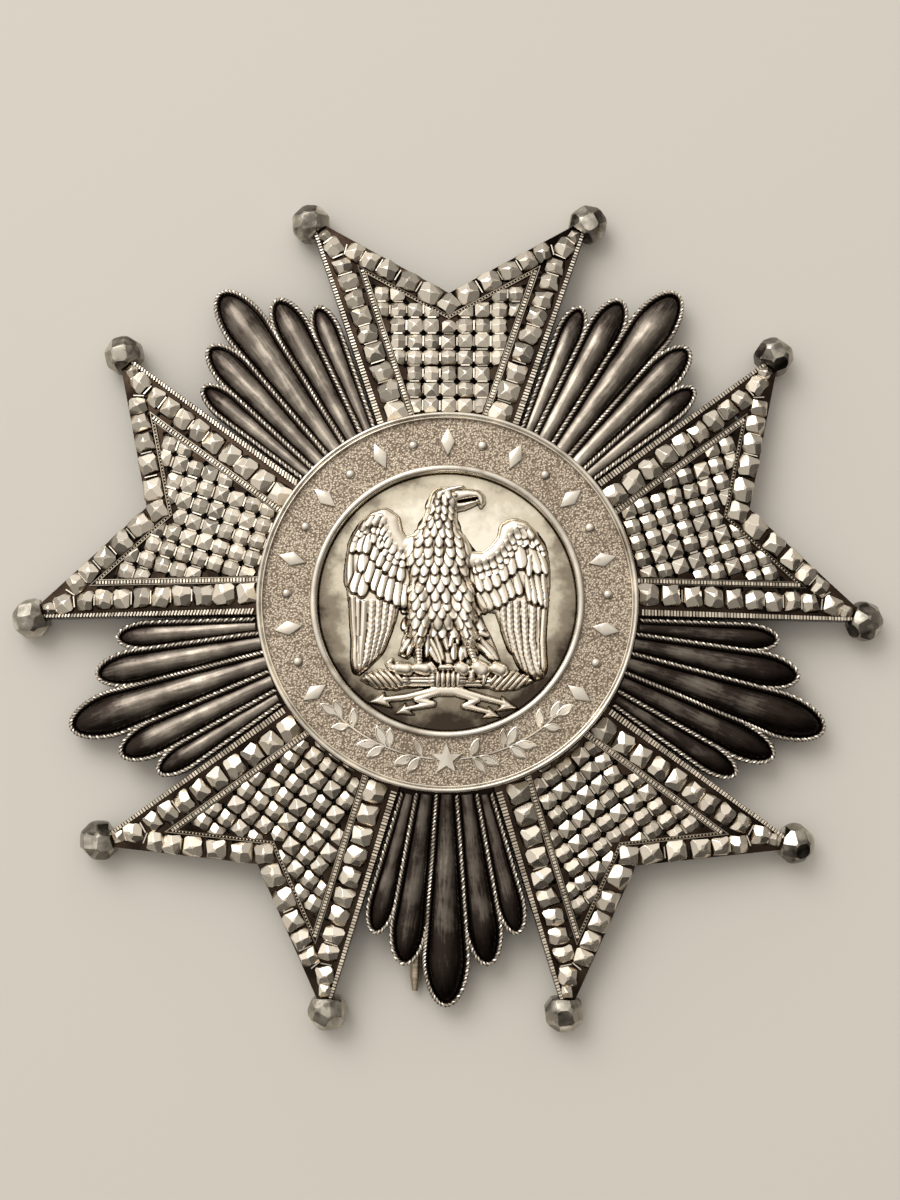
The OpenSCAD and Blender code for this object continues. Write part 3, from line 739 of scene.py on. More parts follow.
def along(start, end, pitch):
    """Evenly spaced places on a straight line, with the line's direction."""
    run = Vector(end) - Vector(start)
    count = max(int(run.length / pitch), 1)
    turn = atan2(run.y, run.x)
    return [(*(Vector(start) + run * ((k + 0.5) / count)), turn) for k in range(count)]


def vee(s, side, notch, low_y):
    """Outline of a line that runs up inside a side edge and down inside the notch edge."""
    near, far = side
    return [
        (side_x(s, low_y, near), low_y), corner(s, near, notch[0]), (0, notch_y(s, 0, notch[0])),
        (0, notch_y(s, 0, notch[1])), corner(s, far, notch[1]), (side_x(s, low_y, far), low_y)]


def bar(start, end, width):
    """Outline of a straight bar between two points."""
    run = (Vector(end) - Vector(start)).normalized() * width / 2
    side = Vector((-run.y, run.x))
    return [tuple(p) for p in (
        Vector(start) - side, Vector(end) - side, Vector(end) + side, Vector(start) + side)]


def mirrored(points):
    return [(-x, y) for x, y in points]


def drilled_plate(s, grid, chance):
    """An arm's flat plate with its pierced holes, each a little off its place."""
    x, y = side_x(s, s.arm_root_y, 0), s.arm_root_y
    tip_x, tip_y = corner(s, 0, 0)
    plate = slab(
        [(-x, y), (x, y), (tip_x, tip_y), (0, notch_y(s, 0, 0)), (-tip_x, tip_y)], 0, s.arm_t)
    drill = primitive(bpy.ops.mesh.primitive_cylinder_add, vertices=9, radius=0.5, depth=4)
    holes = scatter([
        (drill, at(
            x + jitter(chance), y + jitter(chance), 0.6, chance.uniform(0, 2),
            (s.hole_d * chance.uniform(0.8, 1.12),) * 2 + (1,)))
        for x, y in hole_places(s, grid)])
    subtract(plate, holes)
    discard(holes, drill)
    return plate


def jitter(chance):
    return chance.uniform(-0.04, 0.04)


def ridges(s):
    """The two fine ridges on each side of an arm that frame its inner milled band."""
    return [
        slab(points, s.arm_t - ROOTED, s.arm_t + 0.26)
        for side, notch in (((3.3, 3.38), (2.2, 2.27)), ((3.86, 3.94), (2.5, 2.57)))
        for line in (vee(s, side, notch, ROWS_FROM),) for points in (line, mirrored(line))]


def milled_bands(s, index, tooth, bead, chance):
    """Places of the teeth along the side edges and along the field, and beads below the notch.

    The teeth of the fifth arm's edges lean, as if they were cut with another wheel.
    """
    slant = radians(24 if index == 4 else 0)
    end_y = s.ball_y - 1
    bands = (
        ((side_x(s, ROWS_FROM, 0.36), ROWS_FROM), (side_x(s, end_y, 0.19), end_y),
         0.66, 0.34, slant),
        ((side_x(s, ROWS_FROM, 3.62), ROWS_FROM), corner(s, 3.62, 2.4), 0.42, 0.36, 0))
    bead_x, bead_y = corner(s, 3.6, 2.385)
    found = []
    for side in SIDES:
        for start, end, start_width, end_width, lean in bands:
            places = along((side * start[0], start[1]), (side * end[0], end[1]), s.tooth_pitch)
            for k, (x, y, turn) in enumerate(places):
                width = start_width + (end_width - start_width) * k / len(places)
                found.append((tooth, at(
                    x, y, s.arm_t, turn + lean * side, (1, width, chance.uniform(0.8, 1.05)))))
        found += [
            (bead, at(x, y, s.arm_t + 0.08, turn)) for x, y, turn in along(
                (side * bead_x, bead_y), (0, notch_y(s, 0, 2.385)), s.bead_pitch)]
    return found


def stone(s, studs, chance, x, y, across, along_row, height, turn):
    """A stud set at a place, turned a quarter at random so that no two look alike."""
    quarter = chance.randrange(4)
    if quarter % 2:
        across, along_row = along_row, across
    return chance.choice(studs), at(
        x + jitter(chance), y + jitter(chance), s.arm_t,
        turn + radians(90 * quarter + chance.uniform(-4, 4)),
        (across, along_row, height * chance.uniform(0.88, 1.0)))


def border_piece(s, index, studs, chance):
    """The border studs and the large one below the notch, trimmed beside the edge's teeth."""
    placed = [
        stone(s, studs["border"], chance, side * x, y, across, along_row, s.border_stud_h,
              side * turn)
        for x, y, across, along_row, turn in border_studs(s) for side in SIDES]
    placed.append(stone(
        s, studs["centre"], chance, 0, s.notch_reach - 1.3, 2.1, 2.1, s.border_stud_h, pi / 4))
    border = scatter(placed, 7 + index, 0.3)
    near = Vector((side_x(s, ROWS_FROM, 0.74), ROWS_FROM))
    run = (Vector((side_x(s, s.ball_y, 0.36), s.ball_y)) - near).normalized()
    cut_away(border, [
        (Vector((side * near.x, near.y, 0)), Vector((side * run.y, -run.x, 0)))
        for side in SIDES])
    return cut_away(border, arm_ends(s))


def field_pieces(s, index, grid, studs, chance):
    """The field's studs in three parts, left, middle and right, each trimmed by the bands."""
    fields = []
    for part in (-1, 0, 1):
        field = scatter([
            stone(s, studs["field"], chance, *grid_place(s, column, row), s.field_stud_w,
                  s.field_stud_w, s.field_stud_h, 0)
            for column, row in sorted(grid)
            if (column > 0) - (column < 0) == part], index * 3 + part, 0.3)
        cuts = [
            (Vector((side * side_x(s, 20, 4.02), 20, 0)),
             Vector((side * cos(s.side_angle), -sin(s.side_angle), 0))) for side in SIDES]
        cuts += [
            (Vector((0, notch_y(s, 0, 2.66), 0)),
             Vector((-side * sin(s.notch_angle), cos(s.notch_angle), 0)))
            for side in (SIDES if part == 0 else (part,))]
        fields.append(cut_away(field, cuts))
    return fields


def wall_places(s, index, grid, partition, chance):
    """Places of the thin walls that stand between the studs; each arm has kept its own share."""
    walls = []
    for column, row in sorted(grid) if index != 3 else ():
        x, y = grid_place(s, column, row)
        for i, j, turn in ((0.5, 0, pi / 2), (0, 0.5, 0)):
            if (column + 2 * i, row + 2 * j) not in grid or chance.random() > 0.9:
                continue
            if index in (1, 2) and i == 0:
                continue
            wx, wy = x + i * s.field_pitch, y + j * s.field_pitch
            if abs(wx) < side_x(s, wy, 4.3) and wy < notch_y(s, abs(wx), 3.0):
                walls.append((partition, at(wx, wy, s.arm_t, turn, (
                    chance.uniform(0.8, 1.1), chance.uniform(0.8, 1.3),
                    chance.uniform(0.7, 1.1)))))
    by_side, by_notch = neighbours(s)
    for a, b in by_side + by_notch:
        for side in SIDES:
            if chance.random() < BORDER_WALLS[index]:
                walls.append((partition, at(
                    side * (a[0] + b[0]) / 2, (a[1] + b[1]) / 2, s.arm_t, side * a[4],
                    (chance.uniform(1.1, 1.5), 0.75, chance.uniform(0.8, 1.3)))))
    small, large = border_studs(s)[-2:]
    for a, b, share in (
            (small, large, 0.45), (large, by_side[0][0], 0.5), (large, by_notch[0][0], 0.56)):
        turn = atan2(b[1] - a[1], b[0] - a[0]) - pi / 2
        for side in SIDES:
            walls.append((partition, at(
                side * (a[0] + (b[0] - a[0]) * share), a[1] + (b[1] - a[1]) * share, s.arm_t,
                side * turn, (1.15, 0.8, chance.uniform(0.9, 1.3)))))
    return walls


def ball_pegs(s):
    """The pegs at an arm's two ends, on which its balls sit."""
    back = 1.15
    pegs = []
    for side in SIDES:
        pegs.append(primitive(
            bpy.ops.mesh.primitive_cylinder_add, vertices=24, radius=0.45, depth=1.6,
            location=(
                side * (s.ball_x - back * sin(s.tip_angle)),
                s.ball_y - back * cos(s.tip_angle), s.arm_t / 2),
            rotation=(-pi / 2, 0, -side * s.tip_angle)))
        bpy.ops.object.transform_apply(location=True, rotation=True, scale=True)
    return pegs


def arm_piece(s, index, studs, tooth, bead, partition):
    """One arm, lying flat with its axis along y, then laid in its place."""
    chance = Random(40 + index)
    grid = field_grid(s)
    plate = drilled_plate(s, grid, chance)
    lines = ridges(s)
    bands = milled_bands(s, index, tooth, bead, chance)
    border = border_piece(s, index, studs, chance)
    fields = field_pieces(s, index, grid, studs, chance)
    walls = wall_places(s, index, grid, partition, chance)
    raised = join(
        [*lines, scatter(bands, index, 0.25), scatter(walls, index, 0.2), *fields])
    cut_away(raised, arm_ends(s))
    ring = primitive(
        bpy.ops.mesh.primitive_cylinder_add, vertices=128, radius=s.ring_r + 0.12, depth=8)
    for piece in (raised, border):
        subtract(piece, ring)
    discard(ring)
    cut_away(plate, arm_ends(s))
    arm = join([plate, raised, border])
    arm = join([arm, *ball_pegs(s)])
    mark(arm, "rise", lambda co: share_of((co.z - s.arm_t + 0.06) / 0.75))
    # Painted reflection on each large facet, partly a less polished cut, plus each arm's painted
    # light and shade
    facet_dullness_and_painted_light = arm.data.attributes.new("facet_dullness_and_painted_light", "FLOAT", "FACE")
    for polygon, entry in zip(arm.data.polygons, facet_dullness_and_painted_light.data):
        facet = chance.random() ** 2 * 0.5 if polygon.area > 0.04 else 0
        entry.value = ARM_PAINTED_LIGHT[index] + facet
    arm.data.transform(plate_place(s, ARM_AXES[index]))
    return arm


def build_arms():
    s = sizes()
    studs = {
        "field": [facet_stud(k, 1) for k in range(7)],
        "border": [facet_stud(20 + k, 1.5) for k in range(7)],
        "centre": [facet_stud(50 + k, 0.4) for k in range(2)],
    }
    tooth = block(s.tooth_pitch * 0.76, 1, -ROOTED, 0.36)
    use_modifier(tooth, "BEVEL", width=0.05, segments=1, limit_method="ANGLE")
    bead = primitive(
        bpy.ops.mesh.primitive_uv_sphere_add, segments=8, ring_count=5, radius=0.16)
    partition = block(1.0, 0.15, -ROOTED, 0.36)
    material = cut_silver()
    for index in range(len(ARM_AXES)):
        finish_piece(
            arm_piece(s, index, studs, tooth, bead, partition), f"studded_arm_{index + 1}",
            [f"arm_{index + 1}"], material)
    discard(*(stud for kind in studs.values() for stud in kind), tooth, bead, partition)


# ---------------------------------------------------------------- balls


def ball_cuts(half, chance):
    """The planes of a ball's 26 facets, which lie as the faces, edges and corners of a cube."""
    reach_of = {1: 0.935, 2: 0.94, 3: 0.955}
    cuts = []
    for toward in product((-1, 0, 1), repeat=3):
        order = sum(abs(step) for step in toward)
        if order:
            reach = half * reach_of[order] * chance.uniform(0.975, 1.01)
            lean = Vector([chance.uniform(-0.06, 0.06) for _ in range(3)])
            out = (Vector(toward).normalized() + lean).normalized()
            cuts.append((out * reach, out))
    return cuts


def build_balls():
    s = sizes()
    material = ball_silver()
    half = s.ball_w / 2
    for index, turns in enumerate(BALL_TURNS):
        chance = Random(70 + index)
        ball = primitive(
            bpy.ops.mesh.primitive_uv_sphere_add, segments=64, ring_count=32,
            radius=half * 1.025)
        cut_away(ball, ball_cuts(half, chance))
        axis, side = ARM_AXES[index // 2], SIDES[index % 2]
        low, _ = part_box(f"ball_{index + 1}")
        middle = Matrix.Rotation(radians(axis - 90), 4, "Z") @ Vector(
            (side * s.ball_x, s.ball_reach * cos(s.ball_angle), 0))
        ball.data.transform(Euler([radians(turn) for turn in turns]).to_matrix().to_4x4())
        middle.z = low.z / MM - min(vertex.co.z for vertex in ball.data.vertices)
        ball.data.transform(Matrix.Translation(middle))
        place = plate_place(s, axis)
        seat, out = arm_ends(s, 1.5)[index % 2]
        cut_away(ball, [(place @ seat, -(place.to_3x3() @ out))])
        use_modifier(
            ball, "BEVEL", width=0.035, segments=2, limit_method="ANGLE", angle_limit=radians(14))
        # Painted reflection: each large facet lighter or darker by its own amount; the narrow worn
        # bevels a little lighter
        toning = ball.data.attributes.new("edge", "FLOAT", "FACE")
        for polygon, entry in zip(ball.data.polygons, toning.data):
            entry.value = chance.uniform(-0.26, 0.34) if polygon.area > 0.2 else 0.1
        finish_piece(
            ball, f"cut_ball_{index + 1}", [f"ball_{index + 1}"], material, 13)


# ---------------------------------------------------------------- ray fans

# Rope lines between the rays: their x where they leave the ring and 12 mm further out
ROPES_NEAR = (-4.731, -3.16, -1.06, 1.06, 3.16, 4.731)
ROPES_FAR = (-8.3, -5.37, -1.93, 1.93, 5.37, 8.3)
ROPE_RUN = 12
RAY_TIP_R = (34.5, 37.2, 41.2, 37.2, 34.5)
RAY_TIP_LENGTH = (3.2, 4, 5, 4, 3.2)
RAY_BACK = 0.45
# How much darker each fan is painted than the first: partly tarnish, partly painted shade on the
# fans that face away from the light
FAN_TARNISH_AND_SHADE = (0.0, 0.24, 0.18, 0.07, 0.04)


class Ray:
    """One ray between two rope lines, in a frame along its own axis."""

    def __init__(self, s, k):
        self.foot_x = (ROPES_NEAR[k] + ROPES_NEAR[k + 1]) / 2
        head_x = (ROPES_FAR[k] + ROPES_FAR[k + 1]) / 2
        self.foot_y = s.ring_r + 0.65
        self.turn = atan2(head_x - self.foot_x, ROPE_RUN)
        self.near = (ROPES_NEAR[k + 1] - ROPES_NEAR[k]) / 2 * cos(self.turn)
        self.far = (ROPES_FAR[k + 1] - ROPES_FAR[k]) / 2 * cos(self.turn)
        reach = self.foot_x * sin(self.turn) + self.foot_y * cos(self.turn)
        self.length = sqrt(
            reach ** 2 + RAY_TIP_R[k] ** 2 - self.foot_x ** 2 - self.foot_y ** 2) - reach
        self.tip = RAY_TIP_LENGTH[k]
        self.bend = self.length - self.tip

    def half(self, t):
        return self.near + (self.far - self.near) * t * cos(self.turn) / ROPE_RUN

    def outline(self, grow, steps=18):
        """From the left root round the tip to the right root, in the fan's frame."""
        points = [(-self.half(-RAY_BACK) - grow, -RAY_BACK)]
        for k in range(steps + 1):
            a = pi - pi * k / steps
            points.append((
                (self.half(self.bend) + grow) * cos(a), self.bend + (self.tip + grow) * sin(a)))
        points.append((self.half(-RAY_BACK) + grow, -RAY_BACK))
        return [self.place(x, y) for x, y in points]

    def place(self, x, y):
        return (
            self.foot_x + x * cos(self.turn) + y * sin(self.turn),
            self.foot_y - x * sin(self.turn) + y * cos(self.turn))


def ray_dome(s, ray, seed):
    """A hollow-backed ray: a domed form that narrows to the ring and rounds off at its tip."""
    dome = primitive(
        bpy.ops.mesh.primitive_grid_add, x_subdivisions=22, y_subdivisions=64, size=2)
    ledge = s.rope_d / 2 + 0.06
    end = ray.length - ledge
    worn_from = ray.bend * 0.82
    rise = dome.data.attributes.new("rise", "FLOAT", "POINT")
    uv_at = {}
    for vertex, entry in zip(dome.data.vertices, rise.data):
        across, run = vertex.co.x, (vertex.co.y + 1) / 2
        t = -RAY_BACK + (end + RAY_BACK) * sin(run * pi / 2)
        half = ray.half(min(t, ray.bend)) - ledge
        if t > ray.bend:
            share = min((t - ray.bend) / (ray.tip - ledge), 1)
            half *= sqrt(max(1 - share * share, 0))
        half = max(half, 0.004)
        x = half * sin(across * pi / 2)
        radius = sqrt(half * half + s.dome_sink ** 2)
        z = s.fan_t - s.dome_sink + sqrt(radius * radius - x * x)
        px, py = ray.place(x, t)
        z += 0.03 * noise.noise(Vector((px * 0.5, py * 0.22, seed))) * (1 - across * across)
        uv_at[vertex.index] = (x, t + seed * 50)
        near_tip = max(0, (t - worn_from) / (ray.length - worn_from))
        entry.value = 0.72 * (1 - abs(across) ** 2.4) * (1 - 0.55 * near_tip)
        vertex.co = (px, py, z)
    layer = dome.data.uv_layers[0] if dome.data.uv_layers else dome.data.uv_layers.new()
    layer.name = "Along"
    for loop, entry in zip(dome.data.loops, layer.data):
        entry.uv = uv_at[loop.vertex_index]
    bpy.ops.object.mode_set(mode="EDIT")
    bpy.ops.mesh.select_mode(type="VERT")
    bpy.ops.mesh.select_all(action="DESELECT")
    bpy.ops.mesh.select_non_manifold()
    bpy.ops.mesh.extrude_region_move(TRANSFORM_OT_translate={"value": (0, 0, -0.12)})
    bpy.ops.mesh.edge_face_add()
    face_outward()
    return dome


def even_path(points, step):
    """The same path with points at even steps."""
    points = [Vector(p) for p in points]
    lengths = [0.0]
    for a, b in zip(points, points[1:]):
        lengths.append(lengths[-1] + (b - a).length)
    count = max(int(lengths[-1] / step), 2)
    found, k = [], 0
    for i in range(count + 1):
        target = lengths[-1] * i / count
        while k < len(points) - 2 and lengths[k + 1] < target:
            k += 1
        run = lengths[k + 1] - lengths[k]
        found.append(points[k].lerp(points[k + 1], (target - lengths[k]) / run))
    return found


def rope(s, points, z, twist=1):
    """Two round strands twisted about each other along a flat path."""
    strand_r = s.rope_d * 0.27
    offset = (s.rope_d / 2 - strand_r) * 1.02
    step = s.rope_lay / 6
    path = even_path(points, step)
    strands = []
    for start in (0, pi):
        strand = []
        for k, point in enumerate(path):
            run = (path[min(k + 1, len(path) - 1)] - path[max(k - 1, 0)]).normalized()
            phase = start + twist * 2 * pi * k * step / s.rope_lay
            spot = point + Vector((-run.y, run.x)) * cos(phase) * offset
            strand.append((spot.x, spot.y, z + sin(phase) * offset))
        strands.append(strand)
    piece = wire(strands, strand_r)
    mark(piece, "wire", lambda co: share_of((co.z - z + 0.14) / 0.34) * 0.6 + 0.38)
    return piece


def fan_piece(s):
    """One fan, lying flat with its axis along y: five roped rays on their plates and a web."""
    parts = []
    for k in range(5):
        ray = Ray(s, k)
        base = slab(ray.outline(s.rope_d / 2 - 0.03), 0, s.fan_t - 0.008 * abs(k - 2))
        mark(base, "rise", lambda co: 0.08)
        path = ray.outline(0)
        if k != 2:
            # An outer ray's rope stops short where it meets the rope of the next one
            path = path[:-1] if k < 2 else path[1:]
        parts += [
            base, ray_dome(s, ray, k),
            rope(s, path, s.fan_t + s.rope_d * 0.36, -1 if k > 2 else 1)]
    web = slab(ray_web(s), 0, s.fan_t - 0.03)
    mark(web, "rise", lambda co: 0.1)
    return join([*parts, web])


def ray_web(s):
    """Outline of the web that joins the rays under the ring."""
    low, high = 13.6, s.ring_r + 0.95
    return [(-fan_half(s, low), low), (fan_half(s, low), low),
            (fan_half(s, high), high), (-fan_half(s, high), high)]


def fan_half(s, y):
    """Half the width that the neighbouring arms leave to a fan."""
    step = radians(36)
    lean = sin(s.side_angle) / cos(s.dome_angle)
    spread = cos(step) * cos(s.side_angle) + sin(step) * lean
    return (y * cos(s.dome_angle) * (sin(step) * cos(s.side_angle) - cos(step) * lean)
            - s.side_offset - 0.05) / spread


def build_fans():
    s = sizes()
    material = oxidised_silver()
    template = fan_piece(s)
    for index, axis in enumerate(FAN_AXES):
        fan = template.copy()
        fan.data = template.data.copy()
        link(fan)
        fan.data.transform(plate_place(s, axis))
        # Each fan darker by its own amount: partly tarnish, partly painted shade
        mark(fan, "toning", lambda co: FAN_TARNISH_AND_SHADE[index])
        finish_piece(
            fan, f"roped_rays_{index + 1}", [f"ray_fan_{index + 1}"],
            material, 40)
    discard(template)


# ---------------------------------------------------------------- medallion ring

# Radii of the ornaments' row and of the sprigs' stems
ORNAMENT_R, SPRIG_R = 16.3, 16
# Leaves of a sprig: share of the stem, turn from the stem in degrees, length
SPRIG_LEAVES = (
    (0.02, 64, 2.2), (0.04, -66, 2.1), (0.1, -38, 2.3), (0.36, 78, 2.1), (0.4, 48, 2.4),
    (0.42, -62, 2.1), (0.48, -32, 2.3), (0.78, 62, 2.1), (0.82, -48, 1.9), (0.92, 28, 2.2),
    (0.98, -12, 2.2))
# Berries of a sprig: share of the stem and distance from it
SPRIG_BERRIES = ((0.16, 0.5), (0.38, -0.5), (0.62, 0.45), (0.83, -0.4))


def turned(profile, steps):
    """A ring turned from a closed profile of radius and height."""
    ring = primitive(
        bpy.ops.mesh.primitive_circle_add, vertices=len(profile), fill_type="NOTHING")
    for vertex, (radius, height) in zip(ring.data.vertices, profile):
        vertex.co = (radius, 0, height)
    bpy.ops.object.mode_set(mode="EDIT")
    bpy.ops.mesh.select_all(action="SELECT")
    bpy.ops.mesh.spin(steps=steps, angle=2 * pi, center=(0, 0, 0), axis=(0, 0, 1))
    bpy.ops.mesh.select_all(action="SELECT")
    bpy.ops.mesh.remove_doubles(threshold=0.0005)
    face_outward()
    return ring


def rim_arc(inner, outer, top, drop, steps=8):
    """Half-round top of a rim, from its outer to its inner side."""
    middle, half = (inner + outer) / 2, (outer - inner) / 2
    return [
        (middle + half * cos(pi * k / steps), top - drop + drop * sin(pi * k / steps))
        for k in range(steps + 1)]


def on_band(angle_deg, radius, z, turn=0.0, scale=(1, 1, 1)):
    """Matrix of a place on the band, with y pointing along the band, anticlockwise."""
    return (
        Matrix.Rotation(radians(angle_deg), 4, "Z") @ Matrix.Translation((radius, 0, z))
        @ Matrix.Rotation(radians(turn), 4, "Z") @ Matrix.Diagonal((*scale, 1)))


def laurel_leaf():
    """An outlined leaf with a sunk field and a midrib, of unit length along y."""
    outline = [(0.21 * sin(pi * t / 8) ** 0.8, t / 8) for t in range(1, 8)]
    leaf = slab([(0, 0), *outline, (0, 1), *mirrored(outline[::-1])], -ROOTED, 0.24)
    inset_top(leaf, (0.035, 0.03), (0.03, -0.12))
    rib = slab(bar((0, 0.02), (0, 0.95), 0.05), 0, 0.27)
    return join([leaf, rib])


def ring_body(s, band_z):
    """The ring with its rims, turned in one piece, its rims rubbed a little uneven."""
    bore, band_in, band_out = 13.2, 13.95, 18.65
    slope = sin(s.dome_angle) / cos(s.dome_angle)
    foot = [
        (r, s.root_z + s.arm_t / cos(s.dome_angle) - r * cos(radians(23)) * slope + 0.05)
        for r in (bore, s.ring_r)]
    band = [(band_out - (band_out - band_in) * k / 24, band_z) for k in range(25)]
    ring = turned((
        foot + rim_arc(band_out + 0.25, s.ring_r, s.rim_z, 0.22, 6)
        + rim_arc(band_out + 0.02, band_out + 0.23, s.rim_z - 0.08, 0.12, 6)
        + band + rim_arc(bore, band_in - 0.02, s.rim_z, 0.32)), 256)
    for vertex in ring.data.vertices:
        if vertex.co.z > band_z + 0.1:
            spot = vertex.co * 0.35
            vertex.co.z -= 0.035 * abs(noise.noise(Vector((spot.x, spot.y, 3))))
    return ring


def ring_ornaments(band_z):
    """Lozenges and pellets in turn, round the upper part of the band."""
    lozenge = slab([(0.78, 0), (0, 1.5), (-0.78, 0), (0, -1.5)], -ROOTED, 0.36)
    use_modifier(lozenge, "BEVEL", width=0.16, segments=2, limit_method="ANGLE")
    pellet = primitive(
        bpy.ops.mesh.primitive_uv_sphere_add, segments=20, ring_count=12, radius=0.52)
    placed = []
    for k in range(21):
        a = 215 - 12.5 * k
        if k % 2 == 0:
            placed.append((lozenge, on_band(a, ORNAMENT_R, band_z, -90)))
        else:
            placed.append((pellet, on_band(a, ORNAMENT_R, band_z, 0, (1, 1, 0.72))))
    return scatter(placed, 3, 0.1), (lozenge, pellet)


def ring_star(band_z):
    """The small five-pointed star at the foot of the band."""
    points = []
    for k in range(10):
        r = (1.75, 0.74)[k % 2]
        points.append((r * sin(pi * k / 5), r * cos(pi * k / 5)))
    star = slab(points, -ROOTED, 0.26)
    inset_top(star, (0.09, 0.08))
    return scatter([(star, Matrix.Translation((0, -SPRIG_R, band_z)))], 1, 0), (star,)


def laurel_sprigs(band_z):
    """The leaves and berries of the two sprigs that rise from the small star."""
    leaf = laurel_leaf()
    berry = primitive(
        bpy.ops.mesh.primitive_uv_sphere_add, segments=10, ring_count=6, radius=0.17)
    placed = []
    for side in SIDES:
        for share, turn, size in SPRIG_LEAVES:
            turn *= 0.9
            placed.append((leaf, on_band(
                -90 + side * (8 + 36 * share), SPRIG_R, band_z, turn if side > 0 else 180 - turn,
                (size, size, 1))))
        for share, off in SPRIG_BERRIES:
            placed.append((berry, on_band(
                -90 + side * (8 + 36 * share), SPRIG_R + off, band_z + 0.1)))
    return scatter(placed, 9, 0.15), (leaf, berry)


def sprig_stem(side, band_z):
    angles = [radians(-90 + side * a) for a in range(5, 46, 2)]
    return wire([[(SPRIG_R * cos(a), SPRIG_R * sin(a), band_z + 0.1) for a in angles]], 0.13)


def build_ring():
    s = sizes()
    band_z = s.rim_z - 0.6
    parts, templates = [ring_body(s, band_z)], []
    for part, used in (
            ring_ornaments(band_z), ring_star(band_z), laurel_sprigs(band_z)):
        parts.append(part)
        templates += used
    parts += [sprig_stem(side, band_z) for side in SIDES]
    ring = join(parts)
    mark(ring, "rise", lambda co: share_of((co.z - band_z - 0.015) / 0.3))
    discard(*templates)
    finish_piece(
        ring, "struck_ring", ["medallion_ring"], struck_silver(), 35)


# ---------------------------------------------------------------- eagle

# Outlines and feathers of the relief, in millimetres about the medallion's middle.
LEFT_WING = (
    (-3.0, 6.9), (-4.5, 5.9), (-5.3, 6.3), (-5.6, 7), (-5.45, 8), (-5.3, 8.8), (-5.65, 9.25),
    (-6.3, 9.55), (-7.1, 9.45), (-7.8, 9), (-8.35, 8.55), (-9, 7.85), (-9.45, 7), (-9.9, 6.3),
    (-10.1, 5.6), (-10.3, 4.6), (-10.4, 3.5), (-10.35, 2.5), (-10.23, 1.4), (-10, -0.5),
    (-9.9, -2), (-9.6, -4), (-9.7, -6), (-9.3, -7.3), (-8.9, -7.6), (-8, -6.9), (-6.9, -5.8),
    (-6.2, -4.7), (-5.7, -3.3), (-5.2, -2), (-4.9, -0.8), (-3, -0.6), (-2, 2))
RIGHT_WING = (
    (2.7, 4.75), (3.5, 4.85), (4.5, 5.3), (5, 5.8), (5.3, 6.6), (5.2, 7.4), (5.5, 8), (6.2, 8.4),
    (7, 8.5), (7.85, 8.05), (8.6, 7.4), (9.3, 6.6), (9.8, 5.8), (10.15, 5), (10.35, 4),
    (10.4, 3), (10.4, 1.5), (10.25, 0), (10.2, -1), (10, -3), (10, -5), (10.05, -6.5),
    (9.75, -7.75), (8.9, -8.1), (7.7, -7.2), (7, -6.2), (6.3, -4.8), (5.8, -3.8), (5.3, -2.3),
    (4.9, -1.2), (3.6, -0.9), (2, 0.5), (1.5, 3))
# Quills: centre line and width, from the innermost outwards
LEFT_QUILLS = (
    (((-5.5, -0.4), (-5.9, -3), (-7, -5.7)), 0.9, 1),
    (((-6.2, -0.2), (-6.5, -3), (-7.1, -5), (-7.9, -6.6)), 0.85, 1),
    (((-6.9, 0), (-7.1, -3), (-7.7, -5.5), (-8.4, -6.9)), 0.85, 1),
    (((-7.6, 0), (-7.7, -3), (-8.2, -6), (-8.9, -7.3)), 0.85, 1),
    (((-8.4, 0), (-8.5, -3), (-8.8, -6), (-9.2, -7.5)), 0.8, 0),
    (((-9.0, 0), (-9.0, -3), (-9.1, -7.2)), 0.45, 0),
    (((-9.65, 0.4), (-9.55, -3), (-9.4, -7.4)), 0.8, 0))
RIGHT_QUILLS = (
    (((5.6, -0.3), (5.8, -3), (6.6, -5.4)), 0.85, 1),
    (((6.3, 0), (6.4, -3), (6.9, -5), (7.7, -7.2)), 0.85, 1),
    (((7, 0), (7.1, -3), (7.5, -5), (8.3, -7.6)), 0.85, 1),
    (((7.8, 0), (7.9, -3), (8.1, -5.5), (8.9, -8.05)), 0.85, 1),
    (((8.7, -0.6), (8.6, -4), (9.1, -6.5), (9.5, -7.8)), 0.85, 1),
    (((9.3, -0.6), (9.25, -4), (9.4, -7)), 0.35, 0),
    (((9.9, -0.6), (9.7, -4), (9.9, -7.4)), 0.8, 0))
# Coverts, row by row from the quills up to the shoulder: root, point and width
LEFT_COVERTS = (
    (-9.9, 5, -10.12, 1.3, 1.0), (-9, 2.8, -9.55, 0.7, 1.3), (-8.5, 5, -8.55, 2.65, 1.35),
    (-8.2, 2.9, -8.75, 0.3, 1.2), (-7.6, 4, -8.1, 1.7, 1.15), (-6.9, 3.2, -7.45, 0.85, 1.15),
    (-6.3, 2.6, -6.85, 0.2, 1.15), (-5.6, 2.4, -6.05, -0.2, 1.1), (-4.9, 1.9, -5.1, -0.65, 1.15),
    (-4.2, 1.7, -4.4, -0.9, 0.9),
    (-9.3, 7, -9.8, 4.8, 1.15), (-8.3, 7, -9, 4.8, 1.05), (-7.9, 6.9, -8.3, 4.7, 0.95),
    (-7.2, 5.4, -7.55, 4.0, 1.0), (-6.5, 4.9, -7.05, 3.35, 0.95), (-5.8, 4.2, -6.4, 2.9, 0.95),
    (-5.3, 3.6, -5.75, 2.3, 0.9), (-4.6, 3.6, -4.8, 1.9, 0.95))
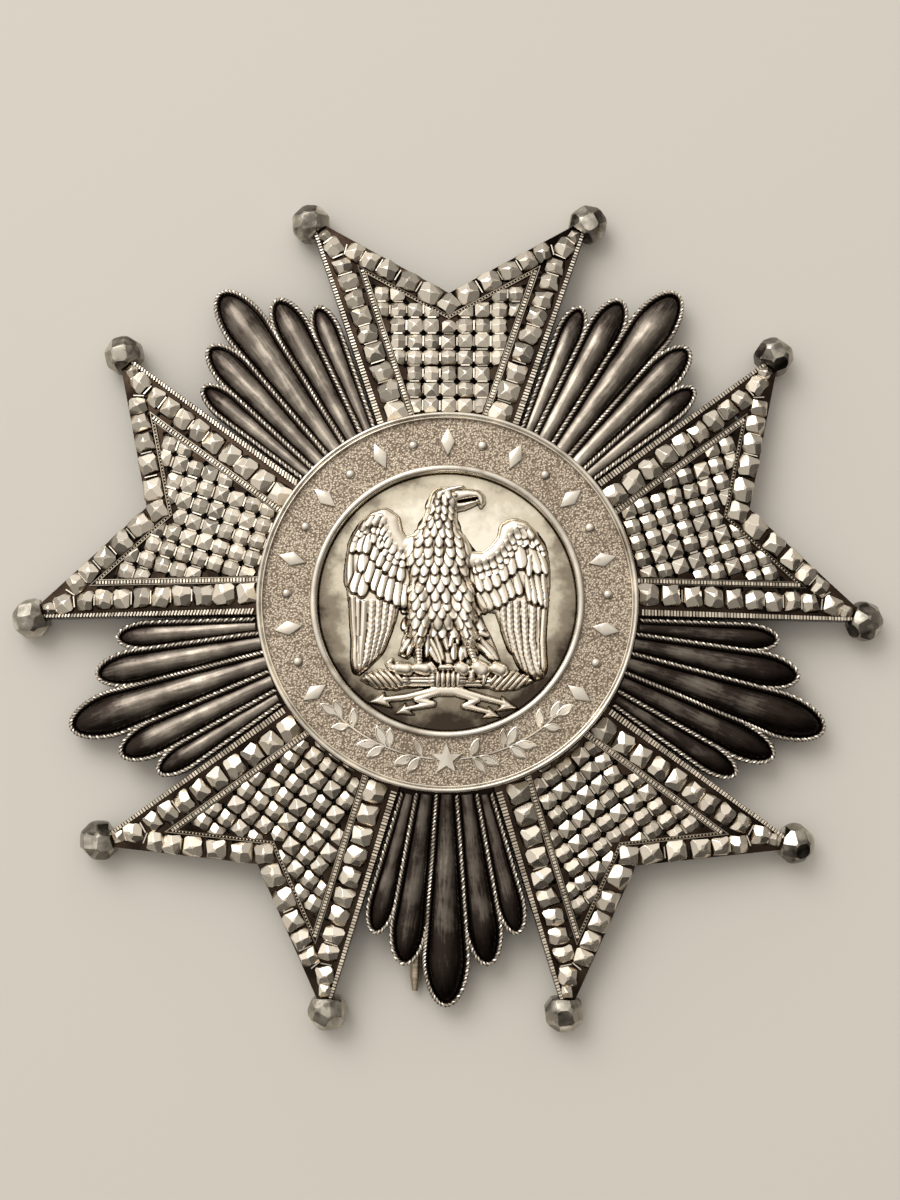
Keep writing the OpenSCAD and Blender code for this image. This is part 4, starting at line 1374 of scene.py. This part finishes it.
LEFT_SCALES = (
    (-7, 6.6, -6.8, 5.2, 0.8), (-6, 5.8, -5.9, 4.5, 0.85), (-5.2, 5.2, -4.9, 3.9, 0.8),
    (-7.5, 7.1, -7.5, 5.8, 0.65), (-6.5, 7.3, -6.35, 6.0, 0.7), (-6.9, 7.7, -7, 6.4, 0.6),
    (-8.5, 8.1, -9.3, 6.9, 0.8), (-6.9, 8.2, -8.9, 6.8, 0.6), (-6.6, 8.7, -7.9, 8.0, 0.85))
RIGHT_COVERTS = (
    (9.7, 2.8, 10.05, -0.85, 0.75), (9, 2.9, 9.6, -0.65, 0.8), (8.3, 2.9, 8.95, -0.5, 0.8),
    (8, 2.8, 8.4, -0.2, 0.7), (6.9, 2.8, 7.4, 0.5, 0.95), (6.1, 2.2, 6.65, 0.2, 1.0),
    (5.3, 2.2, 5.9, -0.35, 1.15), (4.4, 1.6, 5.3, -0.75, 1.1), (3.6, 1.2, 4.45, -1.1, 1.1),
    (3, 0.8, 3.9, -1.3, 0.9),
    (9.2, 5.4, 10.15, 2.6, 0.95), (8.5, 5.5, 9.3, 2.65, 1.1), (8.3, 4.7, 8.3, 2.4, 0.75),
    (7.3, 5.8, 7.55, 3.2, 1.4), (6.3, 5, 6.65, 2.55, 1.15), (5.4, 4.3, 5.85, 1.9, 1.2),
    (4.4, 3.7, 5.2, 1.3, 1.1), (3.5, 3.3, 4.35, 0.9, 1.1), (2.9, 2.9, 3.5, 0.8, 0.9))
RIGHT_SCALES = (
    (3.3, 4.0, 2.8, 2.7, 0.9), (4.3, 4.3, 3.9, 3.0, 0.8), (5.2, 4.9, 4.9, 3.4, 0.8),
    (5.8, 5.5, 5.6, 3.9, 0.85), (6.2, 6.2, 6.35, 4.8, 0.75), (8.9, 7, 9.9, 5.1, 0.85),
    (8.2, 7.2, 8.8, 5.3, 0.95), (7.2, 6.9, 7.95, 5.45, 0.95), (6.8, 6.7, 6.95, 5.35, 0.8),
    (6.9, 7.6, 8.1, 7.0, 0.8))
# Feathers of tail, thighs and belly: root, point, width
TAIL = (
    (1.7, -4.2, 1.4, -6.2, 0.8), (0.7, -4.3, 0.7, -6.1, 0.8), (-1.3, -3.2, -0.3, -6.2, 0.6),
    (-1.9, -3.4, -0.5, -6.7, 0.6), (-2.4, -3.6, -0.9, -6.4, 0.65), (1.6, -2.9, 1.9, -4.6, 0.6),
    (1.1, -2.9, 1.1, -4.5, 0.6), (0.7, -2.7, 0.3, -4.8, 0.6), (-0.5, -2.6, 0.1, -5.2, 0.6))
THIGHS = (
    (-3.3, -2.2, -4.6, -4.6, 0.65), (-3.4, -1.2, -4.3, -3.3, 0.6), (-2.4, -3.4, -3.4, -5.7, 0.6),
    (-1.9, -3.4, -2.1, -5.9, 0.6), (2.6, -3.2, 5.0, -5.3, 0.65), (1.9, -3.6, 3.2, -5.5, 0.6),
    (1.5, -3.4, 2.0, -5.9, 0.6),
    (-3, -2.8, -4.8, -5.4, 0.75), (-2.9, -3.2, -4.1, -5.7, 0.7), (3.3, -3.7, 5.3, -6.1, 0.75),
    (2.3, -3.8, 4.9, -6.1, 0.75), (-3, -1.6, -4.15, -3.7, 0.7), (2.1, -3.1, 3.4, -4, 0.6),
    (2.3, -2.8, 4.4, -3.6, 0.65), (2.1, -2, 3.9, -2.9, 0.65), (2.1, -1.4, 3.4, -2.1, 0.6),
    (2, -0.5, 3.4, -1.5, 0.65), (-2.4, -0.9, -3.6, -2.4, 0.8), (-2, -2.1, -1.3, -3.6, 0.8),
    (-2.9, -1.8, -2.4, -3.9, 0.9), (-2.7, 0.6, -2.6, -1.3, 1.1),
    (2, -0.8, 2.0, -2.5, 0.7), (1.4, 0.8, 1.4, -2.9, 1.25), (-1.9, -1.6, -0.3, -3.5, 0.7),
    (-2, -0.4, -0.7, -2.5, 0.75))
# Base of the feathers that hang from tail and thighs
SKIRT = (
    (-3.5, 2.4), (-3.9, 0.2), (-4.0, -1.8), (-4.35, -3.7), (-4.95, -5.5), (-4.0, -5.9),
    (-3.2, -5.2), (-2.4, -6.2), (-1.2, -6.5), (0, -6.9), (0.9, -6.4), (1.7, -6.3), (2.3, -5.6),
    (3.3, -4.9), (4.2, -6.0), (5.4, -6.3), (5.0, -4.9), (4.4, -3.5), (3.9, -2.6), (3.4, -1.3),
    (2.7, 0.6), (2.4, 2.4))
# Smooth forms under the feathers: points with radii, foot height and height of the crown
WRISTS = (
    (((-3.2, 5.9, 1.0), (-4.6, 5.6, 0.85), (-5.35, 6.9, 0.8), (-5.75, 8.1, 0.95),
      (-6.5, 8.6, 0.95), (-7.4, 8.4, 0.85), (-8.3, 7.7, 0.7)), 0.3, 0.55),
    (((2.6, 4.2, 0.9), (3.8, 4.3, 0.75), (4.9, 5.1, 0.75), (5.8, 6.3, 0.75), (6.1, 7.2, 0.85),
      (6.8, 7.6, 0.85), (7.6, 7.5, 0.75), (8.6, 6.7, 0.6)), 0.3, 0.55))
# Small feathers below each wrist: their places, how far each points across, and their row
LESSER = (
    (((-8.9, 7.8), (-7.7, 8.7), (-6.5, 8.8), (-6.1, 7.6), (-5.7, 6.3), (-4.7, 5.4), (-3.3, 5.2)),
     -0.3),
    (((9.4, 6.4), (8.2, 7.5), (7.0, 7.7), (6.3, 6.9), (5.6, 5.7), (4.5, 4.6), (3.0, 4.1)), 0.3))
BODY = (
    (((-0.95, 4.5, 3.45), (-0.7, 1.6, 2.9), (-0.6, -1.2, 2.0)), 0.35, 1.0),
    (((-0.9, 6.0, 2.6), (-0.75, 8.0, 1.75), (-0.5, 9.7, 1.5)), 0.35, 1.05),
    (((-0.5, 10.3, 1.4), (0.5, 10.5, 1.2)), 0.35, 1.15),
    (((-2.9, 0.8, 1.25), (-2.8, -2.2, 1.2), (-2.9, -4.2, 0.7)), 0.35, 1.0),
    (((1.7, 0.8, 1.2), (1.7, -1.8, 1.2), (2.3, -4.2, 0.7)), 0.35, 1.0),
    (((-0.4, -1.5, 1.8), (-0.1, -4.2, 1.5), (0.2, -6.1, 1.1)), 0.35, 0.5))
HEAD = (
    (((1.0, 10.7, 0.9), (2.1, 10.88, 0.64), (2.9, 10.82, 0.58), (3.3, 10.5, 0.5),
      (3.45, 10.12, 0.38), (3.42, 9.7, 0.16)), 0.5, 1.0),
    (((0.6, 9.75, 0.66), (1.6, 9.75, 0.44), (2.4, 9.98, 0.34), (2.95, 10.12, 0.2)), 0.5, 0.75),
    (((-0.9, 10.9, 0.3), (0.2, 11.3, 0.34), (1.45, 11.6, 0.26)), 1.0, 0.55),
    (((0.75, 10.7, 0.21), (0.8, 10.7, 0.21)), 1.35, 0.35))
MOUTH = ((1.1, 10.1), (2.1, 10.3), (2.95, 10.45))
BUNDLE = (
    (((-8.6, -7.95, 0.15), (-7.9, -7.85, 0.6), (-6.8, -7.95, 1.0), (-5.2, -8.05, 1.02),
      (-4.3, -8.1, 0.75)), 0.3, 0.85),
    (((-4.6, -8.05, 0.8), (-1.3, -7.9, 0.8)), 0.3, 0.55),
    (((-1.2, -7.85, 1.0), (1.2, -7.85, 1.0)), 0.3, 0.85),
    (((1.3, -7.9, 0.8), (4.6, -8.05, 0.8)), 0.3, 0.55),
    (((4.3, -8.1, 0.75), (5.2, -8.1, 1.02), (6.8, -8.0, 1.0), (7.9, -7.95, 0.6),
      (8.6, -8.1, 0.15)), 0.3, 0.85),
    (((-2.9, -4.4, 0.42), (-2.8, -6.4, 0.42)), 0.5, 0.75),
    (((2.2, -4.4, 0.42), (2.9, -6.4, 0.42)), 0.5, 0.75))
CLAWS = (
    (((-5.6, -6.0, 0.2), (-5.95, -6.35, 0.28), (-5.6, -6.75, 0.42), (-5.1, -6.9, 0.55)), 0.7, 0.6),
    (((-4.9, -6.85, 0.68), (-4.0, -6.95, 0.72)), 0.7, 0.85),
    (((-3.0, -6.8, 0.6), (-2.1, -6.9, 0.72)), 0.7, 0.85),
    (((-1.7, -6.5, 0.4), (-1.35, -7.0, 0.45)), 0.7, 0.7),
    (((1.3, -6.75, 0.68), (1.7, -6.95, 0.75)), 0.7, 0.85),
    (((3.1, -6.7, 0.8), (3.6, -7.05, 0.88)), 0.7, 0.9),
    (((4.9, -6.8, 0.7), (5.5, -7.05, 0.74)), 0.7, 0.8),
    (((2.5, -7.3, 0.36), (2.5, -7.8, 0.4)), 0.7, 0.75),
    (((3.75, -7.75, 0.32), (3.7, -8.4, 0.14)), 1.0, 0.5),
    (((-0.6, -6.75, 0.32), (0.4, -6.75, 0.32)), 1.0, 0.4))
BOLTS = (
    ((-6.2, -9.98, 0.3), (-4.2, -9.75, 0.34), (-0.9, -9.0, 0.42)),
    ((-4.2, -10.95, 0.24), (-1.4, -10.4, 0.36), (-3.1, -10.0, 0.3), (-0.8, -9.2, 0.42)),
    ((5.9, -10.35, 0.3), (3.8, -9.8, 0.34), (0.9, -9.0, 0.42)),
    ((4.4, -11.25, 0.24), (1.8, -10.6, 0.36), (3.1, -10.05, 0.3), (0.8, -9.2, 0.42)),
    ((-1.2, -9.05, 0.6), (1.2, -9.05, 0.6)))
BOLT_HEADS = (
    ((-8.0, -10.3), (-6.3, -9.2), (-6.1, -9.95), (-5.5, -10.85)),
    ((-5.3, -11.45), (-4.2, -10.3), (-3.9, -10.95), (-3.2, -11.55)),
    ((7.2, -10.85), (5.5, -9.55), (5.6, -10.3), (4.9, -11.2)),
    ((5.5, -11.75), (4.2, -10.65), (4.1, -11.25), (3.4, -11.85)))
# Edges of neck and breast from the throat down, where the small feathers lie: y, left, right
PLUMAGE = (
    (11.2, -1.0, 0.3), (10.4, -1.7, 0.3), (9.5, -1.85, 0.5), (8.4, -2.3, 0.6),
    (7.3, -2.7, 0.8), (6.4, -3.2, 1.4), (5.3, -3.95, 2.3), (4.0, -4.05, 2.45),
    (3.0, -3.8, 2.3), (2.0, -3.5, 2.2), (0.9, -3.7, 2.4), (-0.5, -3.8, 2.7),
    (-2.0, -3.8, 2.9), (-3.2, -3.6, 2.7))


class Relief:
    """A cast relief, drawn as heights above its ground over a fine square grid."""

    def __init__(self, low, high, step):
        xs = np.arange(low[0], high[0], step)
        ys = np.arange(low[1], high[1], step)
        self.x, self.y = np.meshgrid(xs, ys, indexing="ij")
        self.form = np.zeros_like(self.x)
        self.ink = np.zeros_like(self.x)

    def from_line(self, ax, ay, bx, by):
        """Where each grid point lies along a straight line, as a share, and how far off."""
        dx, dy = bx - ax, by - ay
        t = np.clip(((self.x - ax) * dx + (self.y - ay) * dy) / (dx * dx + dy * dy), 0, 1)
        return t, np.hypot(self.x - ax - t * dx, self.y - ay - t * dy)

    def inside(self, points):
        """Depth of every grid point within an outline; 0 outside."""
        depth = np.full_like(self.x, 1e9)
        within = np.zeros(self.x.shape, bool)
        for (ax, ay), (bx, by) in zip(points, (*points[1:], points[0])):
            depth = np.minimum(depth, self.from_line(ax, ay, bx, by)[1])
            crosses = (ay > self.y) != (by > self.y)
            side = ax + (self.y - ay) * (bx - ax) / ((by - ay) or 1e-9)
            within ^= crosses & (self.x < side)
        return np.where(within, depth, 0)

    def crown(self, points, base, height):
        """Rounded form along points with radii, as heights; 0 outside."""
        top = np.zeros_like(self.x)
        for (ax, ay, ar), (bx, by, br) in zip(points, points[1:]):
            t, off = self.from_line(ax, ay, bx, by)
            share = off / (ar + (br - ar) * t)
            round_top = base + height * np.sqrt(np.clip(1 - share ** 2, 0, 1))
            top = np.maximum(top, np.where(share < 1, round_top, 0))
        return top

    def raise_to(self, heights, ink=0.0):
        higher = heights > self.form
        self.form = np.where(higher, heights, self.form)
        self.ink = np.where(higher, ink, self.ink)

    def raise_crowns(self, forms):
        for points, base, height in forms:
            self.raise_to(self.crown(points, base, height))

    def take(self):
        """Hands over what is drawn so far and starts again on an empty ground."""
        drawn = self.form, self.ink
        self.form, self.ink = np.zeros_like(self.x), np.zeros_like(self.x)
        return drawn

    def feather(self, ground, x, y, px, py, width, lift, rise, swell, full, rib=0.015):
        """Lays one feather from its root to its point; what lies below it is covered."""
        size = hypot(px - x, py - y)
        ux, uy = (px - x) / size, (py - y) / size
        u = ((self.x - x) * ux + (self.y - y) * uy) / size
        v = (self.y - y) * ux - (self.x - x) * uy
        self.lay(ground, u, v, size, width, lift, rise, swell, full, rib, 0.0)

    def quill(self, ground, line, width, barbs):
        """Lays one long feather whose centre line is bent and runs downwards."""
        line = line[::-1]
        centre = np.interp(self.y, [p[1] for p in line], [p[0] for p in line])
        low, high = line[0][1], line[-1][1]
        self.lay(
            ground, (high - self.y) / (high - low), self.x - centre, high - low, width,
            -0.06, 0.08, 0.16, 0.85, 0.05, barbs)

    def lay(self, ground, u, v, size, width, lift, rise, swell, full, rib, barbs):
        """A feather grows wider up to its place full and is rounded off from there on."""
        taper = np.sqrt(np.clip(1 - ((u - full) / (1 - full)) ** 2, 0, 1))
        root = 0.3 + 0.7 * full
        half = width / 2 * np.where(u > full, taper, root + (1 - root) * u / full)
        within = (u > 0) & (u < 1) & (np.abs(v) < half)
        share = np.abs(v) / np.maximum(half, 1e-6)
        top = ground + lift + rise * u ** 2 + swell * (1 - share ** 2)
        top = top + rib * np.exp(-(v / 0.06) ** 2)
        if barbs:
            top = top + barbs * np.sin(2 * pi * (u * size * 0.8 + np.abs(v)) / 0.42)
        self.form = np.where(within, top, self.form)
        line = np.maximum(np.clip((share - 0.6) / 0.3, 0, 1), np.clip((u - 0.86) / 0.1, 0, 1))
        self.ink = np.where(within, line, self.ink)


def soften(field, times=1):
    for _ in range(times):
        for axis in (0, 1):
            field = (np.roll(field, 1, axis) + 2 * field + np.roll(field, -1, axis)) / 4
    return field


def plumage(relief, ground):
    """Small overlapping feathers of neck and breast, laid from the belly up to the crown."""
    chance = Random(5)
    levels, *edges = zip(*PLUMAGE[::-1])
    y = -2.6
    while y < 11.3:
        left, right = (np.interp(y, levels, edge) for edge in edges)
        neck = share_of((y - 5.5) / 3)
        width, size = 1.12 - 0.36 * neck, 1.7 - 0.45 * neck
        count = max(round((right - left) / (width * 0.86)), 1)
        odd = round(y * 10) % 2
        for i in range(count + odd):
            share = (i + 0.5 - odd * 0.5) / count
            x = left + (right - left) * share + chance.uniform(-0.09, 0.09)
            lean = (share - 0.45) * (0.95 if y < 4 else 0.75)
            top = y + 0.4 + chance.uniform(-0.12, 0.12)
            relief.feather(
                ground, x - lean * 0.3, top, x + lean * size, top - size, width,
                -0.03, 0.32, 0.14, 0.36)
        y += 0.9 - 0.16 * neck


def lesser_coverts(relief, ground):
    """Two rows of small round feathers that follow each wrist."""
    chance = Random(8)
    for path, lean in LESSER:
        places = even_path([(*point, 0) for point in path], 0.72)
        for drop in (0.75, 0.1):
            for spot in places:
                x = spot.x + lean * drop + chance.uniform(-0.06, 0.06)
                y = spot.y - drop + chance.uniform(-0.08, 0.08)
                relief.feather(
                    ground, x, y, x + lean * 1.3, y - 1.15, 0.84, -0.02, 0.22, 0.1, 0.6)


def eagle_wings(relief):
    for wing in (LEFT_WING, RIGHT_WING):
        depth = relief.inside(wing)
        relief.raise_to(np.where(depth > 0, 0.3 + 0.28 * np.sqrt(
            np.clip(1 - (1 - np.clip(depth / 0.9, 0, 1)) ** 2, 0, 1)), 0))
    relief.raise_crowns(WRISTS)
    ground = soften(relief.form, 6)
    for line, width, barbed in LEFT_QUILLS + RIGHT_QUILLS:
        relief.quill(ground, line, width, 0.018 * barbed)
    for row in LEFT_COVERTS + RIGHT_COVERTS:
        relief.feather(ground, *row[:4], row[4] * 1.02, 0.02, 0.3, 0.14, 0.58)
    for row in LEFT_SCALES + RIGHT_SCALES:
        relief.feather(ground, *row[:4], row[4] * 1.08, 0.0, 0.26, 0.12, 0.56)
    lesser_coverts(relief, ground)


def eagle_body(relief):
    depth = relief.inside(SKIRT)
    relief.raise_to(np.where(depth > 0, 0.32 + 0.2 * np.clip(depth / 0.8, 0, 1), 0))
    relief.raise_crowns(BODY)
    ground = soften(relief.form, 5)
    for row in TAIL:
        relief.feather(ground, *row, 0.06, 0.2, 0.16, 0.5, 0.04)
    for row in THIGHS:
        relief.feather(ground, *row, 0.08, 0.26, 0.16, 0.5, 0.03)
    plumage(relief, ground)
    relief.raise_crowns(HEAD)
    groove = relief.crown([(x, y, 0.1) for x, y in MOUTH], 0.3, 0.4)
    relief.form = relief.form - groove
    relief.ink = np.where(groove > 0, 1, relief.ink)


def eagle_bundle(relief):
    relief.raise_crowns(BUNDLE)
    away = np.abs(relief.x)
    ridges = np.sin(2 * pi * (away - relief.y * 0.85) / 0.66)
    lines = np.sin(2 * pi * relief.y / 0.36)
    bands = np.sin(2 * pi * relief.x / 0.52)
    rings = np.sin(2 * pi * relief.y / 0.32)
    within = relief.form > 0
    low = relief.y < -6.75
    depth = np.where(low, np.where(away > 4.4, 0.12, np.where(away > 1.3, 0.06, 0.1)), 0.06)
    work = np.where(low, np.where(away > 4.4, ridges, np.where(away > 1.3, lines, bands)), rings)
    relief.form = np.where(within, relief.form + depth * work, 0)
    relief.ink = np.where(within, np.clip(-work, 0, 1) * 0.9, 0)
    relief.raise_crowns(CLAWS)
    relief.raise_crowns((points, 0.46, 0.32) for points in BOLTS)
    for points in BOLT_HEADS:
        depth = relief.inside(points)
        relief.raise_to(np.where(depth > 0, 0.45 + 0.3 * np.clip(depth / 0.25, 0, 1), 0))


def eagle_relief(s):
    """Heights of the whole relief and how dark its lines are."""
    relief = Relief((-10.9, -12.0), (10.9, 12.3), s.relief_step)
    layers = []
    for draw in (eagle_wings, eagle_body, eagle_bundle):
        draw(relief)
        layers.append(relief.take())
    for form, ink in layers:
        relief.raise_to(form, ink)
    return relief


def build_eagle():
    s = sizes()
    relief = eagle_relief(s)
    heights = soften(relief.form, 1)
    recess = np.clip((soften(heights, 8) - heights) / 0.08, 0, 1)
    bright = (1 - 0.95 * recess) * (1 - 0.8 * relief.ink) * np.clip(heights / 0.5, 0.2, 1)
    nx, ny = heights.shape
    eagle = primitive(
        bpy.ops.mesh.primitive_grid_add, x_subdivisions=ny - 1, y_subdivisions=nx - 1, size=1)
    mesh = eagle.data
    ground = s.disc_z - 0.03
    crown = cad_top("eagle") - ground - 0.02
    tall = heights.max()
    coordinates = np.stack([relief.x, relief.y, ground + heights * crown / tall], -1)
    mesh.vertices.foreach_set("co", coordinates.reshape(-1).astype(np.float32))
    for name, values in (("rise", bright), ("tint", np.full_like(heights, 0.6))):
        layer = mesh.attributes.new(name, "FLOAT", "POINT")
        layer.data.foreach_set("value", values.reshape(-1).astype(np.float32))
    mesh.update()

    low = ground + 0.04 * crown / tall
    shaped = bmesh.new()
    shaped.from_mesh(mesh)
    flat = [face for face in shaped.faces if all(vertex.co.z < low for vertex in face.verts)]
    bmesh.ops.delete(shaped, geom=flat, context="FACES")
    loose = [vertex for vertex in shaped.verts if not vertex.link_faces]
    bmesh.ops.delete(shaped, geom=loose, context="VERTS")
    shaped.to_mesh(mesh)
    shaped.free()
    activate(eagle)
    bpy.ops.object.mode_set(mode="EDIT")
    bpy.ops.mesh.select_mode(type="EDGE")
    bpy.ops.mesh.select_all(action="DESELECT")
    bpy.ops.mesh.select_non_manifold()
    bpy.ops.mesh.extrude_region_move(TRANSFORM_OT_translate={"value": (0, 0, -0.01)})
    bpy.ops.mesh.fill(use_beauty=False)
    face_outward()
    finish_piece(eagle, "cast_eagle", ["eagle"], relief_silver(), 60)


# ---------------------------------------------------------------- plain nodes and stage

# Where the camera stands, in millimetres, and how it is turned
CAMERA_PLACE = (1.5276, -21.5201, 230.4548)
CAMERA_TURN = (0.09716098, 0.00522654, 0.00406712)


def dress_plain_nodes():
    """The disc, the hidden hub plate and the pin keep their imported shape."""
    for nodes, material in (
            (("centre_disc",), ground_silver()), (("hub_plate", "brooch_pin"), back_silver())):
        for node in nodes:
            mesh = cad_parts[node].data
            mesh.materials.clear()
            mesh.materials.append(material)


def soft_light(name, place, aim, size, power, tone=(1, 1, 1)):
    data = bpy.data.lights.new(name, "AREA")
    data.shape = "DISK"
    data.size = size
    data.energy = power
    data.color = tone
    light = link(bpy.data.objects.new(name, data))
    light.location = place
    light.rotation_euler = (Vector(aim) - Vector(place)).to_track_quat("-Z", "Y").to_euler()


def studio_world():
    """Soft grey surroundings that brighten towards a window behind the star on the left."""
    world = bpy.data.worlds.new("Studio")
    world.use_nodes = True
    tree = world.node_tree
    toward = add_node(tree, "ShaderNodeTexCoord").outputs["Generated"]
    facing = add_node(
        tree, "ShaderNodeVectorMath", {"operation": "DOT_PRODUCT"}, _0=toward,
        _1=Vector((-0.42, 0.62, 0.62)).normalized()).outputs["Value"]
    sky = ramp(tree, math(tree, "MULTIPLY_ADD", facing, 0.5), (
        (0.3, (0.06, 0.055, 0.05)), (0.52, (0.27, 0.253, 0.23)), (0.68, (0.52, 0.492, 0.45)),
        (0.86, (0.84, 0.805, 0.75)), (1.0, (1, 0.965, 0.91))), False)
    back = tree.nodes["Background"]
    tree.links.new(sky, back.inputs["Color"])
    back.inputs["Strength"].default_value = 1.25
    return world


def build_stage():
    floor = primitive(bpy.ops.mesh.primitive_plane_add, size=1.6)
    floor.name = "floor"
    floor.data.materials.append(floor_stone())
    scene = bpy.context.scene
    scene.world = studio_world()
    soft_light("window", (-0.4, 0.6, 0.78), (0, 0, 0), 0.75, 4.6, (1.0, 0.985, 0.95))
    data = bpy.data.cameras.new("camera")
    data.lens = 66
    data.sensor_fit = "VERTICAL"
    data.sensor_height = 36
    camera = link(bpy.data.objects.new("camera", data))
    camera.location = Vector(CAMERA_PLACE) * MM
    camera.rotation_euler = CAMERA_TURN
    scene.camera = camera
    scene.view_settings.view_transform = "Standard"
    scene.view_settings.look = "None"


# ---------------------------------------------------------------- operators, panel, run


class StarOperator:
    """Runs its build function, which raises if a step fails."""

    bl_options = {"REGISTER", "UNDO"}

    def execute(self, context):
        self.build()
        return {"FINISHED"}


class STAR_OT_arms(StarOperator, Operator):
    """Build the five pierced arms with their cut studs and milled bands."""

    bl_idname = "star.arms"
    bl_label = "Studded arms"
    build = staticmethod(build_arms)


class STAR_OT_balls(StarOperator, Operator):
    """Cut the ten faceted balls at the arms' points."""

    bl_idname = "star.balls"
    bl_label = "Faceted balls"
    build = staticmethod(build_balls)


class STAR_OT_fans(StarOperator, Operator):
    """Build the five fans of domed rays edged with twisted rope."""

    bl_idname = "star.fans"
    bl_label = "Ray fans"
    build = staticmethod(build_fans)


class STAR_OT_ring(StarOperator, Operator):
    """Build the medallion's ring with its rims, ornaments, star and sprigs."""

    bl_idname = "star.ring"
    bl_label = "Medallion ring"
    build = staticmethod(build_ring)


class STAR_OT_eagle(StarOperator, Operator):
    """Model the cast eagle on its bundle."""

    bl_idname = "star.eagle"
    bl_label = "Eagle"
    build = staticmethod(build_eagle)


class STAR_OT_plain(StarOperator, Operator):
    """Give the disc, the hub plate and the pin their finish."""

    bl_idname = "star.plain"
    bl_label = "Plain pieces"
    build = staticmethod(dress_plain_nodes)


class STAR_OT_stage(StarOperator, Operator):
    """Lay the floor and set the lights and the camera."""

    bl_idname = "star.stage"
    bl_label = "Stage"
    build = staticmethod(build_stage)


OPERATORS = (
    STAR_OT_stage, STAR_OT_arms, STAR_OT_balls, STAR_OT_fans, STAR_OT_ring, STAR_OT_eagle,
    STAR_OT_plain)


class STAR_PT_panel(Panel):
    bl_idname = "STAR_PT_panel"
    bl_label = "Breast star"
    bl_space_type = "VIEW_3D"
    bl_region_type = "UI"
    bl_category = "Breast star"

    def draw(self, context):
        for operator in OPERATORS:
            self.layout.operator(operator.bl_idname)
        for group in (context.scene.star_sizes, context.scene.star_colours):
            for key in group.__annotations__:
                self.layout.prop(group, key)


CLASSES = (StarSizes, StarColours, *OPERATORS, STAR_PT_panel)


def register():
    for item in CLASSES:
        bpy.utils.register_class(item)
    bpy.types.Scene.star_sizes = PointerProperty(type=StarSizes)
    bpy.types.Scene.star_colours = PointerProperty(type=StarColours)


def unregister():
    del bpy.types.Scene.star_colours
    del bpy.types.Scene.star_sizes
    for item in reversed(CLASSES):
        bpy.utils.unregister_class(item)


def main():
    register()
    bpy.ops.star.stage()
    bpy.ops.star.arms()
    bpy.ops.star.balls()
    bpy.ops.star.fans()
    bpy.ops.star.ring()
    bpy.ops.star.eagle()
    bpy.ops.star.plain()


if __name__ == "__main__":
    main()
